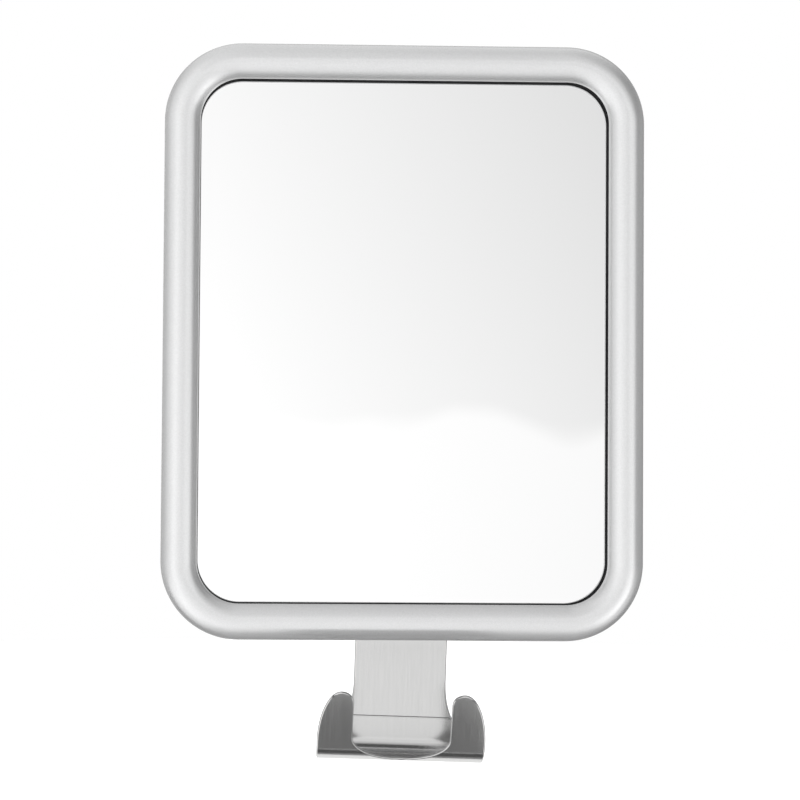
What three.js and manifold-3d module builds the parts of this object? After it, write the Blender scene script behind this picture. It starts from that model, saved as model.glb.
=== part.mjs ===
// Shower mirror on a twist-lock suction cup, with a bent steel razor hook below the mirror.
// Units are millimetres, +Z is up and +X is to the right of someone who looks into the mirror.
// The wall is the plane y = 0 and the mirror faces -Y, so a "depth" below is a distance from the wall,
// measured along -Y. The origin is the middle of the suction cup's face.
import * as THREE from "three";
import { mergeVertices } from "three/addons/utils/BufferGeometryUtils.js";
import Module from "manifold-3d";

const wasm = await Module();
wasm.setup();

// Clearances
const fitGap = 0.3;
const cutOverrun = 1;

// Mirror frame, seen from the front
const frameWidth = 165;
const frameHeight = 204;
const frameCornerRadius = 25;
const barWidth = 12.5;
const frameWall = 2;

// Rolled section of the frame, as heights above the mirror's face
const crownInset = 6.4;
const crownRise = 3.6;
const shoulderHeight = 1.5;
const lipReach = 3.2;
const lipEdge = 0.6;

// Mirror panel, gasket and foam tape
const panelThickness = 3;
const gasketHeight = 2.6;
const gasketSetback = 0.2;
const foamThickness = 1;
const foamWidth = 10;
const sideFoamInset = 28.5;
const sideFoamMargin = 32;
const endFoamInset = 22;
const endFoamMargin = 44.5;

// Back cover
const coverDepth = 7.3;
const coverFloor = 2.2;
const coverRimHeight = 4.2;
const coverEdgeRadius = 2.6;
const ribWidth = 2;
const radialRibHeight = 2.4;
const pocketWallSetback = 2;

// Screws
const screwShankRadius = 1;
const screwHeadRadius = 2.2;
const screwHeadHeight = 1.4;
const screwLength = 9;
const capScrewLength = 12;
const hookScrewLength = 5.2;
const recessWidth = 0.7;
const recessDepth = 0.8;
const recessLengthShare = 0.62;
const screwBossWall = 1.6;

// Ball joint behind the mirror
const ballReach = 16.2;
const ballRadius = 9;
const linerThickness = 1;
const socketWall = 1.6;
const socketOuterRadius = 17.5;
const socketFootRadius = 23;
const panelClearance = 0.6;
const neckRadius = 3.6;
const capOpeningAngle = 50;
const capRearHeight = 7.9;
const capMouthFlare = 1.4;
const capScrewCircle = 14;
const capScrewCount = 3;
const capSeatHeight = 4.6;
const linerFrontAngle = 26;
const linerRearAngle = 51;
const linerSlotWidth = 1.6;
const linerSlotCount = 4;

// Swivel behind the ball
const shaftRadius = 4.6;
const neckLength = 2.4;
const flangeRadius = 10;
const flangeThickness = 2.4;
const washerThickness = 0.8;
const seatFloor = 2.2;
const swivelCapWall = 2.4;
const swivelCapSkirt = 4.4;
const swivelCapGrips = 12;
const swivelGripDepth = 0.7;

// Suction cup, stem and pin
const cupRadius = 36;
const cupEdgeThickness = 1;
const cupRimThickness = 1.8;
const cupWebThickness = 3.6;
const cupHubRadius = 9.5;
const cupHubHeight = 11;
const cupTabWidth = 12;
const cupTabReach = 7;
const stemRadius = 3;
const stemFlangeRadius = 6;
const stemFlangeThickness = 2.2;
const stemFlangeDepth = 3.6;
const pinRadius = 1.5;
const pinReach = 3.5;
const pinDepth = 20.5;
const stemBeyondPin = 5;

// Mount housing and its twist lock
const lockTravel = 3;
const lockAngle = 90;
const lockRunOut = 12;
const dishRadius = 33;
const dishWall = 2.2;
const dishSkirt = 2.4;
const deckDepth = 16.5;
const neckOuterRadius = 13;
const ringRadius = 23;
const ringThickness = 11;
const ringGrips = 14;
const ringGripDepth = 1.5;
const ringBevel = 0.8;
const pocketReach = 4;
const clipThickness = 1.2;
const clipReach = 3.5;
const clipGrooveDepth = 1;
const clipMouthAngle = 70;

// Razor hook: a strip of steel, bent into a trough, with two prongs in front
const sheetThickness = 1.2;
const stripWidth = 31.9;
const hookDrop = 42.3;
const stripOverlap = 42;
const stripCornerRadius = 4;
const prongSpan = 57.6;
const prongBaseSpan = 57;
const prongGap = 33.4;
const prongHeight = 25.1;
const prongTipInset = 7.8;
const prongShoulder = 6.9;
const prongTipDrop = 3.7;
const gapFloorHeight = 1.2;
const gapFloorRise = 7.6;
const bendOuterRadius = 6.6;
const flareHeight = 23.5;
const flareWaistHeight = 9;
const creaseHeight = 14.7;
const creaseAngle = 3;
const prongLean = 14;
const hookTurn = 1.3;
const hookOffset = 1.6;
const hookScrewSpacing = 14;
const hookScrewInset = 10;
const hookHoleSlack = 0.7;

// Smoothness of the facets
const cornerSteps = 6;
const rollSteps = 5;
const turnSteps = 28;
const sphereStep = 13;
const bendSteps = 12;
const curveSteps = 7;
const screwSides = 10;
const gripSteps = 6;
const lockSteps = 12;

// Depths of the lock ring, its clip and the swivel, from the wall towards the ball
const ringDepth = deckDepth + fitGap;
const ringEnd = ringDepth + ringThickness;
const clipDepth = ringEnd + fitGap;
const clipEnd = clipDepth + clipThickness;
const swivelSeat = clipEnd + fitGap + seatFloor;
const washerDepth = swivelSeat + fitGap;
const washerEnd = washerDepth + washerThickness;
const flangeDepth = washerEnd + fitGap;
const flangeRim = flangeDepth + flangeThickness;
const swivelCapFloor = flangeRim + fitGap;
const swivelCapEnd = swivelCapFloor + swivelCapWall;
const ballDepth = swivelCapEnd + ballReach;

// Depths in the mirror's head
const linerInnerRadius = ballRadius + fitGap;
const linerOuterRadius = linerInnerRadius + linerThickness;
const socketRadius = linerOuterRadius + fitGap;
const panelRear = ballDepth + socketRadius + socketWall + panelClearance;
const panelFront = panelRear + panelThickness;
const coverRear = panelRear - coverDepth;
const floorFront = coverRear + coverFloor;
const coverRimTop = coverRear + coverRimHeight;
const bezelRear = coverRimTop + fitGap;
const foamRear = panelRear - fitGap - foamThickness;
const ribTop = foamRear - fitGap;
const gasketRear = panelFront + fitGap;
const lipUnderside = gasketRear + gasketHeight + fitGap;
const lipTop = lipUnderside + lipEdge;
const crownDepth = lipTop + crownRise;
const shoulderDepth = panelFront + shoulderHeight;
const pocketRear = bezelRear + pocketWallSetback;
const capScrewHead = ballDepth - capSeatHeight - fitGap - screwHeadHeight;

// Other places that follow from the sizes above
const pocketInset = barWidth - lipReach;
const channelInset = pocketInset - frameWall;
const screwInset = (frameWall + channelInset) / 2;
const pilotRadius = screwShankRadius + fitGap;
const bossRadius = pilotRadius + screwBossWall;
const headRecessRadius = screwHeadRadius + fitGap;
const slideBore = stemRadius + fitGap;
const pinLength = 2 * (neckOuterRadius + pinReach);
const clipRadius = neckOuterRadius + clipReach;
const hookBottom = -frameHeight / 2 - hookDrop;
const hookTop = -frameHeight / 2 + stripOverlap;
const stripFront = coverRear - fitGap;
const stripMiddle = stripFront - sheetThickness / 2;
const sideFoamPlace = frameWidth / 2 - sideFoamInset;
const sideFoamLength = frameHeight - 2 * sideFoamMargin;
const endFoamPlace = frameHeight / 2 - endFoamInset;
const endFoamLength = frameWidth - 2 * endFoamMargin;

const quarterTurn = Math.PI / 2;
const fullTurn = Math.PI * 2;
const radians = THREE.MathUtils.degToRad;

// Finishes, from the photograph where it shows them
const finishes = {
  silver: { color: 0xc9cacb, roughness: 0.38, metalness: 0.75 },
  mirror: { color: 0xf2f4f4, roughness: 0.04, metalness: 1 },
  gasket: { color: 0x141414, roughness: 0.7, metalness: 0 },
  steel: { color: 0xc4c4c2, roughness: 0.3, metalness: 1 },
  foam: { color: 0x3a3a3a, roughness: 0.95, metalness: 0 },
  shell: { color: 0xb9babc, roughness: 0.5, metalness: 0.1 },
  liner: { color: 0xe9e7e0, roughness: 0.5, metalness: 0 },
  rubber: { color: 0x2b2c2e, roughness: 0.6, metalness: 0 },
};

// A closed geometry as a solid, with its faces turned outwards.
function solidOf(geometry) {
  const bare = new THREE.BufferGeometry();
  bare.setAttribute("position", geometry.getAttribute("position").clone());
  if (geometry.index) bare.setIndex(geometry.index.clone());
  const merged = mergeVertices(bare);
  const corners = [];
  const index = merged.index.array;
  for (let i = 0; i < index.length; i += 3) {
    const [a, b, c] = index.slice(i, i + 3);
    if (a !== b && b !== c && c !== a) corners.push(a, b, c);
  }
  const vertProperties = merged.getAttribute("position").array;
  const build = (triVerts) =>
    new wasm.Manifold(new wasm.Mesh({ numProp: 3, vertProperties, triVerts }));
  const made = build(new Uint32Array(corners));
  if (made.volume() > 0) return made;
  return build(new Uint32Array(corners.reverse()));
}

// A named mesh that shows a solid.
function piece(name, shape, finish) {
  const { vertProperties, triVerts } = shape.getMesh();
  const geometry = new THREE.BufferGeometry();
  geometry.setAttribute("position", new THREE.BufferAttribute(vertProperties, 3));
  geometry.setIndex(new THREE.BufferAttribute(triVerts, 1));
  geometry.computeVertexNormals();
  const material = new THREE.MeshStandardMaterial({ ...finish, flatShading: true });
  const mesh = new THREE.Mesh(geometry, material);
  mesh.name = name;
  return mesh;
}

const joined = (solids) => solids.reduce((whole, part) => whole.add(part));
const without = (whole, cuts) => cuts.reduce((rest, cut) => rest.subtract(cut), whole);

// A body turned about the wall's normal, from [radius, depth] pairs, placed at x and z.
function turned(profile, x = 0, z = 0, steps = turnSteps) {
  const points = profile.map(([radius, depth]) => new THREE.Vector2(radius, -depth));
  return solidOf(new THREE.LatheGeometry(points, steps).translate(x, 0, z));
}

// A round rod or hole that runs between two depths.
function rod(radius, fromDepth, toDepth, x = 0, z = 0, sides = screwSides) {
  const length = toDepth - fromDepth;
  const geometry = new THREE.CylinderGeometry(radius, radius, length, sides);
  return solidOf(geometry.translate(x, -(fromDepth + toDepth) / 2, z));
}

// A block between two depths, centred at x and z.
function block(width, height, fromDepth, toDepth, x = 0, z = 0) {
  const geometry = new THREE.BoxGeometry(width, toDepth - fromDepth, height);
  return solidOf(geometry.translate(x, -(fromDepth + toDepth) / 2, z));
}

// An outline drawn in x and z, given thickness from one depth to another.
function plate(outline, fromDepth, toDepth, bevel = 0) {
  const geometry = new THREE.ExtrudeGeometry(outline, {
    depth: toDepth - fromDepth - 2 * bevel,
    bevelEnabled: bevel > 0,
    bevelThickness: bevel,
    bevelSize: bevel,
    bevelOffset: -bevel,
    bevelSegments: 1,
    curveSegments: curveSteps,
  });
  return solidOf(geometry.rotateX(quarterTurn).translate(0, -(fromDepth + bevel), 0));
}

// Arc of a sphere about the ball's centre, as [radius, depth] pairs. Angles are from the front pole.
function sphereArc(radius, fromAngle, toAngle) {
  const steps = Math.max(1, Math.round(Math.abs(toAngle - fromAngle) / sphereStep));
  return Array.from({ length: steps + 1 }, (_, step) => {
    const angle = radians(fromAngle + ((toAngle - fromAngle) * step) / steps);
    return [radius * Math.abs(Math.sin(angle)), ballDepth + radius * Math.cos(angle)];
  });
}

// The frame's rounded outline as stations: a corner's centre and the outward direction there.
function outlineStations() {
  const reachX = frameWidth / 2 - frameCornerRadius;
  const reachZ = frameHeight / 2 - frameCornerRadius;
  const corners = [[1, 1], [-1, 1], [-1, -1], [1, -1]];
  return corners.flatMap(([sideX, sideZ], corner) =>
    Array.from({ length: cornerSteps + 1 }, (_, step) => {
      const angle = (corner + step / cornerSteps) * quarterTurn;
      const outward = [Math.cos(angle), Math.sin(angle)];
      return { x: sideX * reachX, z: sideZ * reachZ, outward };
    }),
  );
}

// Carries a section of [inset, depth] pairs round the frame's outline. A section that isn't a loop
// is closed by a flat face at each end.
function framed(section, isLoop = true) {
  const stations = outlineStations();
  const count = stations.length;
  const positions = section.flatMap(([inset, depth]) =>
    stations.flatMap(({ x, z, outward }) => {
      const reach = frameCornerRadius - inset;
      return [x + reach * outward[0], -depth, z + reach * outward[1]];
    }),
  );
  const faces = [];
  const rings = isLoop ? section.length : section.length - 1;
  for (let ring = 0; ring < rings; ring += 1) {
    const next = (ring + 1) % section.length;
    for (let place = 0; place < count; place += 1) {
      const beside = (place + 1) % count;
      const [a, b] = [ring * count + place, ring * count + beside];
      const [c, d] = [next * count + beside, next * count + place];
      faces.push(a, b, c, a, c, d);
    }
  }
  if (!isLoop) {
    const last = (section.length - 1) * count;
    for (let place = 1; place < count - 1; place += 1) {
      faces.push(0, place + 1, place);
      faces.push(last, last + place, last + place + 1);
    }
  }
  const geometry = new THREE.BufferGeometry();
  geometry.setAttribute("position", new THREE.Float32BufferAttribute(positions, 3));
  geometry.setIndex(faces);
  return solidOf(geometry);
}

// Quarter of an ellipse between two [inset, depth] corners, level at the crown.
function rollArc(foot, crown, fromFoot) {
  return Array.from({ length: rollSteps + 1 }, (_, step) => {
    const angle = (step / rollSteps) * quarterTurn;
    const turn = fromFoot ? angle : quarterTurn - angle;
    const inset = crown[0] + (foot[0] - crown[0]) * Math.cos(turn);
    return [inset, foot[1] + (crown[1] - foot[1]) * Math.sin(turn)];
  });
}

// Where the cover's screws stand: one in each corner and one halfway up each side.
function screwPlaces() {
  const reachX = frameWidth / 2 - frameCornerRadius;
  const reachZ = frameHeight / 2 - frameCornerRadius;
  const diagonal = (frameCornerRadius - screwInset) * Math.SQRT1_2;
  const sides = [-1, 1];
  const corners = sides.flatMap((sideZ) =>
    sides.map((sideX) => [sideX * (reachX + diagonal), sideZ * (reachZ + diagonal)]),
  );
  return [...corners, ...sides.map((side) => [side * (frameWidth / 2 - screwInset), 0])];
}

function capScrewPlaces() {
  return Array.from({ length: capScrewCount }, (_, place) => {
    const angle = quarterTurn + (place / capScrewCount) * fullTurn;
    return [capScrewCircle * Math.cos(angle), capScrewCircle * Math.sin(angle)];
  });
}

function hookScrewPlaces() {
  const upper = hookTop - hookScrewInset;
  return [[hookOffset, upper], [hookOffset, upper - hookScrewSpacing]];
}

// Pan-head screw whose head starts at the given depth and whose shank points at the room.
function panScrew(name, [x, z], headDepth, shankLength) {
  const shoulder = headDepth + screwHeadHeight;
  const tip = shoulder + shankLength;
  const edge = screwHeadRadius - screwHeadHeight / 2;
  const body = turned(
    [
      [0, headDepth],
      [edge, headDepth],
      [screwHeadRadius, headDepth + screwHeadHeight / 2],
      [screwHeadRadius, shoulder],
      [screwShankRadius, shoulder],
      [screwShankRadius, tip - screwShankRadius],
      [0, tip],
    ],
    x,
    z,
    screwSides,
  );
  const arm = 2 * screwHeadRadius * recessLengthShare;
  const recessEnd = headDepth + recessDepth;
  const recess = [
    block(arm, recessWidth, headDepth - cutOverrun, recessEnd, x, z),
    block(recessWidth, arm, headDepth - cutOverrun, recessEnd, x, z),
  ];
  return piece(name, without(body, recess), finishes.steel);
}

// Hollow rolled frame with a lip over the mirror's edge, and posts for the cover's screws.
function frameBezel() {
  const crown = [crownInset, crownDepth];
  const innerCrown = [(frameWall + channelInset) / 2, crownDepth - frameWall];
  const section = [
    [0, bezelRear],
    ...rollArc([0, shoulderDepth], crown, true),
    ...rollArc([barWidth, lipTop], crown, false).slice(1),
    [barWidth, lipUnderside],
    [pocketInset, lipUnderside],
    [pocketInset, pocketRear],
    [channelInset, pocketRear],
    ...rollArc([channelInset, shoulderDepth], innerCrown, true),
    ...rollArc([frameWall, shoulderDepth], innerCrown, false).slice(1),
    [frameWall, bezelRear],
  ];
  const roof = innerCrown[1] + frameWall / 2;
  const posts = screwPlaces().map(([x, z]) => rod(bossRadius, bezelRear, roof, x, z));
  const pilotEnd = coverRear + fitGap + screwHeadHeight + screwLength + cutOverrun;
  const pilots = screwPlaces().map(([x, z]) =>
    rod(pilotRadius, bezelRear - cutOverrun, pilotEnd, x, z),
  );
  const shell = joined([framed(section), ...posts]);
  return piece("frame_bezel", without(shell, pilots), finishes.silver);
}

// Mirror panel, coated against fog on its face.
function mirrorPanel() {
  const inset = pocketInset + fitGap;
  const edge = fitGap;
  const section = [
    [inset + edge, panelRear],
    [inset, panelRear + edge],
    [inset, panelFront - edge],
    [inset + edge, panelFront],
  ];
  return piece("mirror_panel", framed(section, false), finishes.mirror);
}

// Black gasket between the mirror's face and the frame's lip.
function sealGasket() {
  const outer = pocketInset + fitGap;
  const inner = barWidth - gasketSetback;
  const top = gasketRear + gasketHeight;
  const section = [[outer, gasketRear], [outer, top], [inner, top], [inner, gasketRear]];
  return piece("seal_gasket", framed(section), finishes.gasket);
}

// Foam tape that the panel is stuck to, on the cover's ribs.
function foamStrips() {
  const end = panelRear - fitGap;
  const strip = (name, width, height, x, z) =>
    piece(name, block(width, height, foamRear, end, x, z), finishes.foam);
  return [
    strip("foam_strip_left", foamWidth, sideFoamLength, -sideFoamPlace, 0),
    strip("foam_strip_right", foamWidth, sideFoamLength, sideFoamPlace, 0),
    strip("foam_strip_top", endFoamLength, foamWidth, 0, endFoamPlace),
    strip("foam_strip_bottom", endFoamLength, foamWidth, 0, -endFoamPlace),
  ];
}

// Ribs inside the cover: four under the foam tape, and four that run out from the ball socket.
function coverRibs() {
  const from = floorFront - frameWall / 2;
  const low = floorFront + radialRibHeight;
  const armX = sideFoamPlace - capScrewCircle;
  const armZ = endFoamPlace - capScrewCircle;
  return [-1, 1].flatMap((side) => [
    block(ribWidth, sideFoamLength, from, ribTop, side * sideFoamPlace, 0),
    block(endFoamLength, ribWidth, from, ribTop, 0, side * endFoamPlace),
    block(armX, ribWidth, from, low, side * (capScrewCircle + armX / 2), 0),
    block(ribWidth, armZ, from, low, 0, side * (capScrewCircle + armZ / 2)),
  ]);
}

// Moulded tray behind the mirror, with ribs, screw bosses and the front half of the ball socket.
function backCover() {
  const edgeMiddle = coverEdgeRadius * (1 - Math.SQRT1_2);
  const tray = framed(
    [
      [coverEdgeRadius, coverRear],
      [edgeMiddle, coverRear + edgeMiddle],
      [0, coverRear + coverEdgeRadius],
      [0, coverRimTop],
      [frameWall, coverRimTop],
      [frameWall, floorFront],
    ],
    false,
  );
  const socketSeat = ballDepth + fitGap;
  const socketEnd = ballDepth + socketRadius + socketWall;
  const footStep = (socketFootRadius - socketOuterRadius) / 2;
  const socket = turned([
    [0, socketSeat],
    [socketOuterRadius, socketSeat],
    [socketOuterRadius, coverRear - footStep],
    [socketOuterRadius + footStep / 2, coverRear - footStep / 2],
    [socketFootRadius, coverRear],
    [socketFootRadius, floorFront],
    [socketOuterRadius, floorFront],
    [socketRadius + socketWall, socketEnd - socketWall],
    [socketRadius, socketEnd],
    [0, socketEnd],
  ]);
  const bosses = screwPlaces().map(([x, z]) => rod(bossRadius, floorFront - cutOverrun, coverRimTop, x, z));
  const hookBossEnd = floorFront + radialRibHeight;
  const hookBosses = hookScrewPlaces().map(([x, z]) =>
    rod(bossRadius, floorFront - cutOverrun, hookBossEnd, x, z),
  );
  const recessEnd = coverRear + fitGap + screwHeadHeight + fitGap;
  const capPilotEnd = capScrewHead + screwHeadHeight + capScrewLength + fitGap;
  const cuts = [
    turned([...sphereArc(socketRadius, 0, 90), [0, ballDepth]]),
    ...screwPlaces().flatMap(([x, z]) => [
      rod(headRecessRadius, coverRear - cutOverrun, recessEnd, x, z),
      rod(pilotRadius, coverRear - cutOverrun, coverRimTop + cutOverrun, x, z),
    ]),
    ...capScrewPlaces().map(([x, z]) => rod(pilotRadius, ballDepth - cutOverrun, capPilotEnd, x, z)),
    ...hookScrewPlaces().map(([x, z]) =>
      rod(pilotRadius, coverRear - cutOverrun, hookBossEnd + cutOverrun, x, z),
    ),
  ];
  const solid = joined([tray, socket, ...bosses, ...hookBosses, ...coverRibs()]);
  return piece("back_cover", without(solid, cuts), finishes.shell);
}

function coverScrews() {
  return screwPlaces().map((place, number) =>
    panScrew(`cover_screw_${number + 1}`, place, coverRear + fitGap, screwLength),
  );
}

// Rear half of the ball socket, with a flared mouth that lets the neck tilt.
function socketCap() {
  const rear = ballDepth - capRearHeight;
  const mouth = socketRadius * Math.sin(radians(capOpeningAngle));
  const rim = (socketOuterRadius + mouth) / 2;
  const shoulder = (capRearHeight - capSeatHeight) / 2;
  const body = turned([
    ...sphereArc(socketRadius, 90, 180 - capOpeningAngle),
    [mouth + capMouthFlare, rear],
    [rim, rear],
    [socketOuterRadius - shoulder, rear + shoulder],
    [socketOuterRadius, rear + capRearHeight / 2],
    [socketOuterRadius, ballDepth],
    [socketRadius, ballDepth],
  ]);
  const cuts = capScrewPlaces().flatMap(([x, z]) => [
    rod(headRecessRadius, rear - cutOverrun, ballDepth - capSeatHeight, x, z),
    rod(pilotRadius, rear - cutOverrun, ballDepth + cutOverrun, x, z),
  ]);
  return piece("socket_cap", without(body, cuts), finishes.shell);
}

function capScrews() {
  return capScrewPlaces().map((place, number) =>
    panScrew(`cap_screw_${number + 1}`, place, capScrewHead, capScrewLength),
  );
}

// Slit plastic shell between ball and socket.
function socketLiner() {
  const rearAngle = 180 - linerRearAngle;
  const shell = turned([
    ...sphereArc(linerOuterRadius, linerFrontAngle, rearAngle),
    ...sphereArc(linerInnerRadius, rearAngle, linerFrontAngle),
    sphereArc(linerOuterRadius, linerFrontAngle, rearAngle)[0],
  ]);
  const reach = linerOuterRadius + cutOverrun;
  const slots = Array.from({ length: linerSlotCount }, (_, slot) => {
    const angle = ((slot + 1 / 2) / linerSlotCount) * fullTurn;
    const geometry = new THREE.BoxGeometry(reach, reach, linerSlotWidth);
    geometry.translate(reach / 2, -(ballDepth - reach / 2), 0);
    return solidOf(geometry.rotateY(angle));
  });
  return piece("socket_liner", without(shell, slots), finishes.liner);
}

// Ball, neck, shaft and swivel flange in one turned piece.
function ballStud() {
  const neckAngle = 180 - THREE.MathUtils.radToDeg(Math.asin(neckRadius / ballRadius));
  const ball = sphereArc(ballRadius, neckAngle, 0);
  const neckDepth = ball[0][1] - neckLength;
  const body = turned([
    [0, flangeDepth],
    [flangeRadius, flangeDepth],
    [flangeRadius, flangeRim],
    [shaftRadius, flangeRim],
    [shaftRadius, neckDepth - shaftRadius + neckRadius],
    [neckRadius, neckDepth],
    ...ball,
  ]);
  return piece("ball_stud", body, finishes.steel);
}

// Outline with a row of shallow grips round its edge.
function grippedOutline(radius, grips, gripDepth) {
  const count = grips * gripSteps;
  const points = Array.from({ length: count }, (_, place) => {
    const angle = (place / count) * fullTurn;
    const reach = radius - (gripDepth * (1 - Math.cos(grips * angle))) / 2;
    return new THREE.Vector2(reach * Math.cos(angle), reach * Math.sin(angle));
  });
  return new THREE.Shape(points);
}

// Collar nut that traps the stud's flange on the neck.
function swivelCap() {
  const outer = neckOuterRadius + fitGap + swivelCapWall;
  const grips = grippedOutline(outer, swivelCapGrips, swivelGripDepth);
  const body = plate(grips, swivelCapFloor - swivelCapSkirt, swivelCapEnd, swivelGripDepth);
  const bore = rod(neckOuterRadius + fitGap, 0, swivelCapFloor, 0, 0, turnSteps);
  const mouth = rod(shaftRadius + fitGap, 0, swivelCapEnd + cutOverrun, 0, 0, turnSteps);
  return piece("swivel_cap", without(body, [bore, mouth]), finishes.shell);
}

function swivelWasher() {
  const hole = flangeRadius / 2;
  const profile = [
    [hole, washerDepth],
    [flangeRadius, washerDepth],
    [flangeRadius, washerEnd],
    [hole, washerEnd],
    [hole, washerDepth],
  ];
  return piece("swivel_washer", turned(profile), finishes.liner);
}

// Dish that presses on the cup, with a neck that holds the pin's slots, the clip and the swivel.
function mountHousing() {
  const skirtRear = cupRimThickness + lockTravel + fitGap;
  const skirtFront = skirtRear + dishSkirt;
  const innerRadius = dishRadius - dishWall;
  const shoulder = (dishRadius - ringRadius) / 2;
  const ceiling = deckDepth - dishWall;
  const cavity = neckOuterRadius;
  const neckBore = flangeRadius + fitGap;
  const groove = neckOuterRadius - clipGrooveDepth;
  const body = turned([
    [slideBore, ceiling],
    [cavity, ceiling],
    [innerRadius - shoulder, ceiling - dishWall / 2],
    [innerRadius, skirtFront],
    [innerRadius, skirtRear],
    [dishRadius, skirtRear],
    [dishRadius, skirtFront],
    [dishRadius - shoulder / 2, deckDepth - shoulder],
    [ringRadius + shoulder / 2, deckDepth - dishWall / 2],
    [ringRadius, deckDepth],
    [neckOuterRadius, deckDepth],
    [neckOuterRadius, clipDepth - fitGap],
    [groove, clipDepth - fitGap],
    [groove, clipEnd + fitGap],
    [neckOuterRadius, clipEnd + fitGap],
    [neckOuterRadius, flangeRim],
    [neckBore, flangeRim],
    [neckBore, swivelSeat],
    [slideBore, swivelSeat],
    [slideBore, ceiling],
  ]);
  const slotWidth = 2 * (pinRadius + fitGap);
  const slotFrom = pinDepth - pinRadius - fitGap;
  const slotTo = pinDepth + lockTravel + pinRadius + fitGap;
  const slot = block(2 * ringRadius, slotWidth, slotFrom, slotTo);
  return piece("mount_housing", body.subtract(slot), finishes.shell);
}

// Helical pocket in the lock ring: its floor rises by the lock's travel over the lock's angle.
function lockPocket(startAngle) {
  const floorAt = (turn) => pinDepth - pinRadius - fitGap + (lockTravel * turn) / lockAngle;
  const inner = neckOuterRadius - cutOverrun;
  const outer = neckOuterRadius + fitGap + pocketReach;
  const front = ringEnd + cutOverrun;
  const turns = [-lockRunOut, 0];
  for (let step = 1; step <= lockSteps; step += 1) turns.push((lockAngle * step) / lockSteps);
  turns.push(lockAngle + lockRunOut);
  const positions = turns.flatMap((turn) => {
    const angle = radians(startAngle + turn);
    const floor = floorAt(THREE.MathUtils.clamp(turn, 0, lockAngle));
    const section = [[inner, floor], [outer, floor], [outer, front], [inner, front]];
    return section.flatMap(([radius, depth]) => [
      radius * Math.cos(angle),
      -depth,
      radius * Math.sin(angle),
    ]);
  });
  const sides = 4;
  const faces = [];
  for (let ring = 0; ring < turns.length - 1; ring += 1) {
    for (let side = 0; side < sides; side += 1) {
      const beside = (side + 1) % sides;
      const [a, b] = [ring * sides + side, ring * sides + beside];
      const [c, d] = [b + sides, a + sides];
      faces.push(a, b, c, a, c, d);
    }
  }
  const last = (turns.length - 1) * sides;
  faces.push(0, 2, 1, 0, 3, 2, last, last + 1, last + 2, last, last + 2, last + 3);
  const geometry = new THREE.BufferGeometry();
  geometry.setAttribute("position", new THREE.Float32BufferAttribute(positions, 3));
  geometry.setIndex(faces);
  return solidOf(geometry);
}

// Twist ring: its two ramps push on the cross pin, so the housing is drawn towards the wall.
function lockRing() {
  const grips = grippedOutline(ringRadius, ringGrips, ringGripDepth);
  const body = plate(grips, ringDepth, ringEnd, ringBevel);
  const bore = rod(neckOuterRadius + fitGap, 0, ringEnd + cutOverrun, 0, 0, turnSteps);
  return piece("lock_ring", without(body, [bore, lockPocket(0), lockPocket(180)]), finishes.silver);
}

// Open retaining ring in the neck's groove.
function ringClip() {
  const inner = neckOuterRadius - clipGrooveDepth + fitGap;
  const half = radians(clipMouthAngle / 2);
  const outline = new THREE.Shape();
  outline.absarc(0, 0, clipRadius, half - quarterTurn, fullTurn - half - quarterTurn, false);
  outline.absarc(0, 0, inner, fullTurn - half - quarterTurn, half - quarterTurn, true);
  outline.closePath();
  return piece("ring_clip", plate(outline, clipDepth, clipEnd), finishes.steel);
}

// Stem whose flange is moulded into the cup, with the hole for the cross pin.
function cupStem() {
  const flangeEnd = stemFlangeDepth + stemFlangeThickness;
  const end = pinDepth + stemBeyondPin;
  const body = turned([
    [0, stemFlangeDepth],
    [stemFlangeRadius, stemFlangeDepth],
    [stemFlangeRadius, flangeEnd],
    [stemRadius, flangeEnd],
    [stemRadius, end - cupEdgeThickness],
    [stemRadius - cupEdgeThickness, end],
    [0, end],
  ]);
  const hole = crossBar(pinRadius + fitGap, 4 * stemRadius);
  return piece("cup_stem", body.subtract(hole), finishes.steel);
}

// Round bar along X through the stem's pin hole.
function crossBar(radius, length) {
  const geometry = new THREE.CylinderGeometry(radius, radius, length, screwSides);
  return solidOf(geometry.rotateZ(quarterTurn).translate(0, -pinDepth, 0));
}

// Rubber cup, flat on the wall, with a hub moulded round the stem's flange and a tab to peel it off.
function suctionCup() {
  const flangeEnd = stemFlangeDepth + stemFlangeThickness + fitGap;
  const pocket = stemFlangeRadius + fitGap;
  const pocketFloor = stemFlangeDepth - fitGap;
  const cup = turned([
    [0, 0],
    [cupRadius, 0],
    [cupRadius, cupEdgeThickness],
    [dishRadius, cupRimThickness],
    [dishRadius - dishWall, cupRimThickness],
    [cupHubRadius + cupWebThickness, cupWebThickness],
    [cupHubRadius, 2 * cupWebThickness],
    [cupHubRadius, cupHubHeight - cupEdgeThickness],
    [cupHubRadius - cupEdgeThickness, cupHubHeight],
    [slideBore, cupHubHeight],
    [slideBore, flangeEnd],
    [pocket, flangeEnd],
    [pocket, pocketFloor],
    [0, pocketFloor],
  ]);
  const half = cupTabWidth / 2;
  const reach = cupRadius + cupTabReach - half;
  const outline = new THREE.Shape();
  outline.moveTo(half, -(cupRadius - half));
  outline.absarc(0, -reach, half, 0, -Math.PI, true);
  outline.lineTo(-half, -(cupRadius - half));
  outline.closePath();
  return piece("suction_cup", cup.add(plate(outline, 0, cupEdgeThickness)), finishes.rubber);
}

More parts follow.
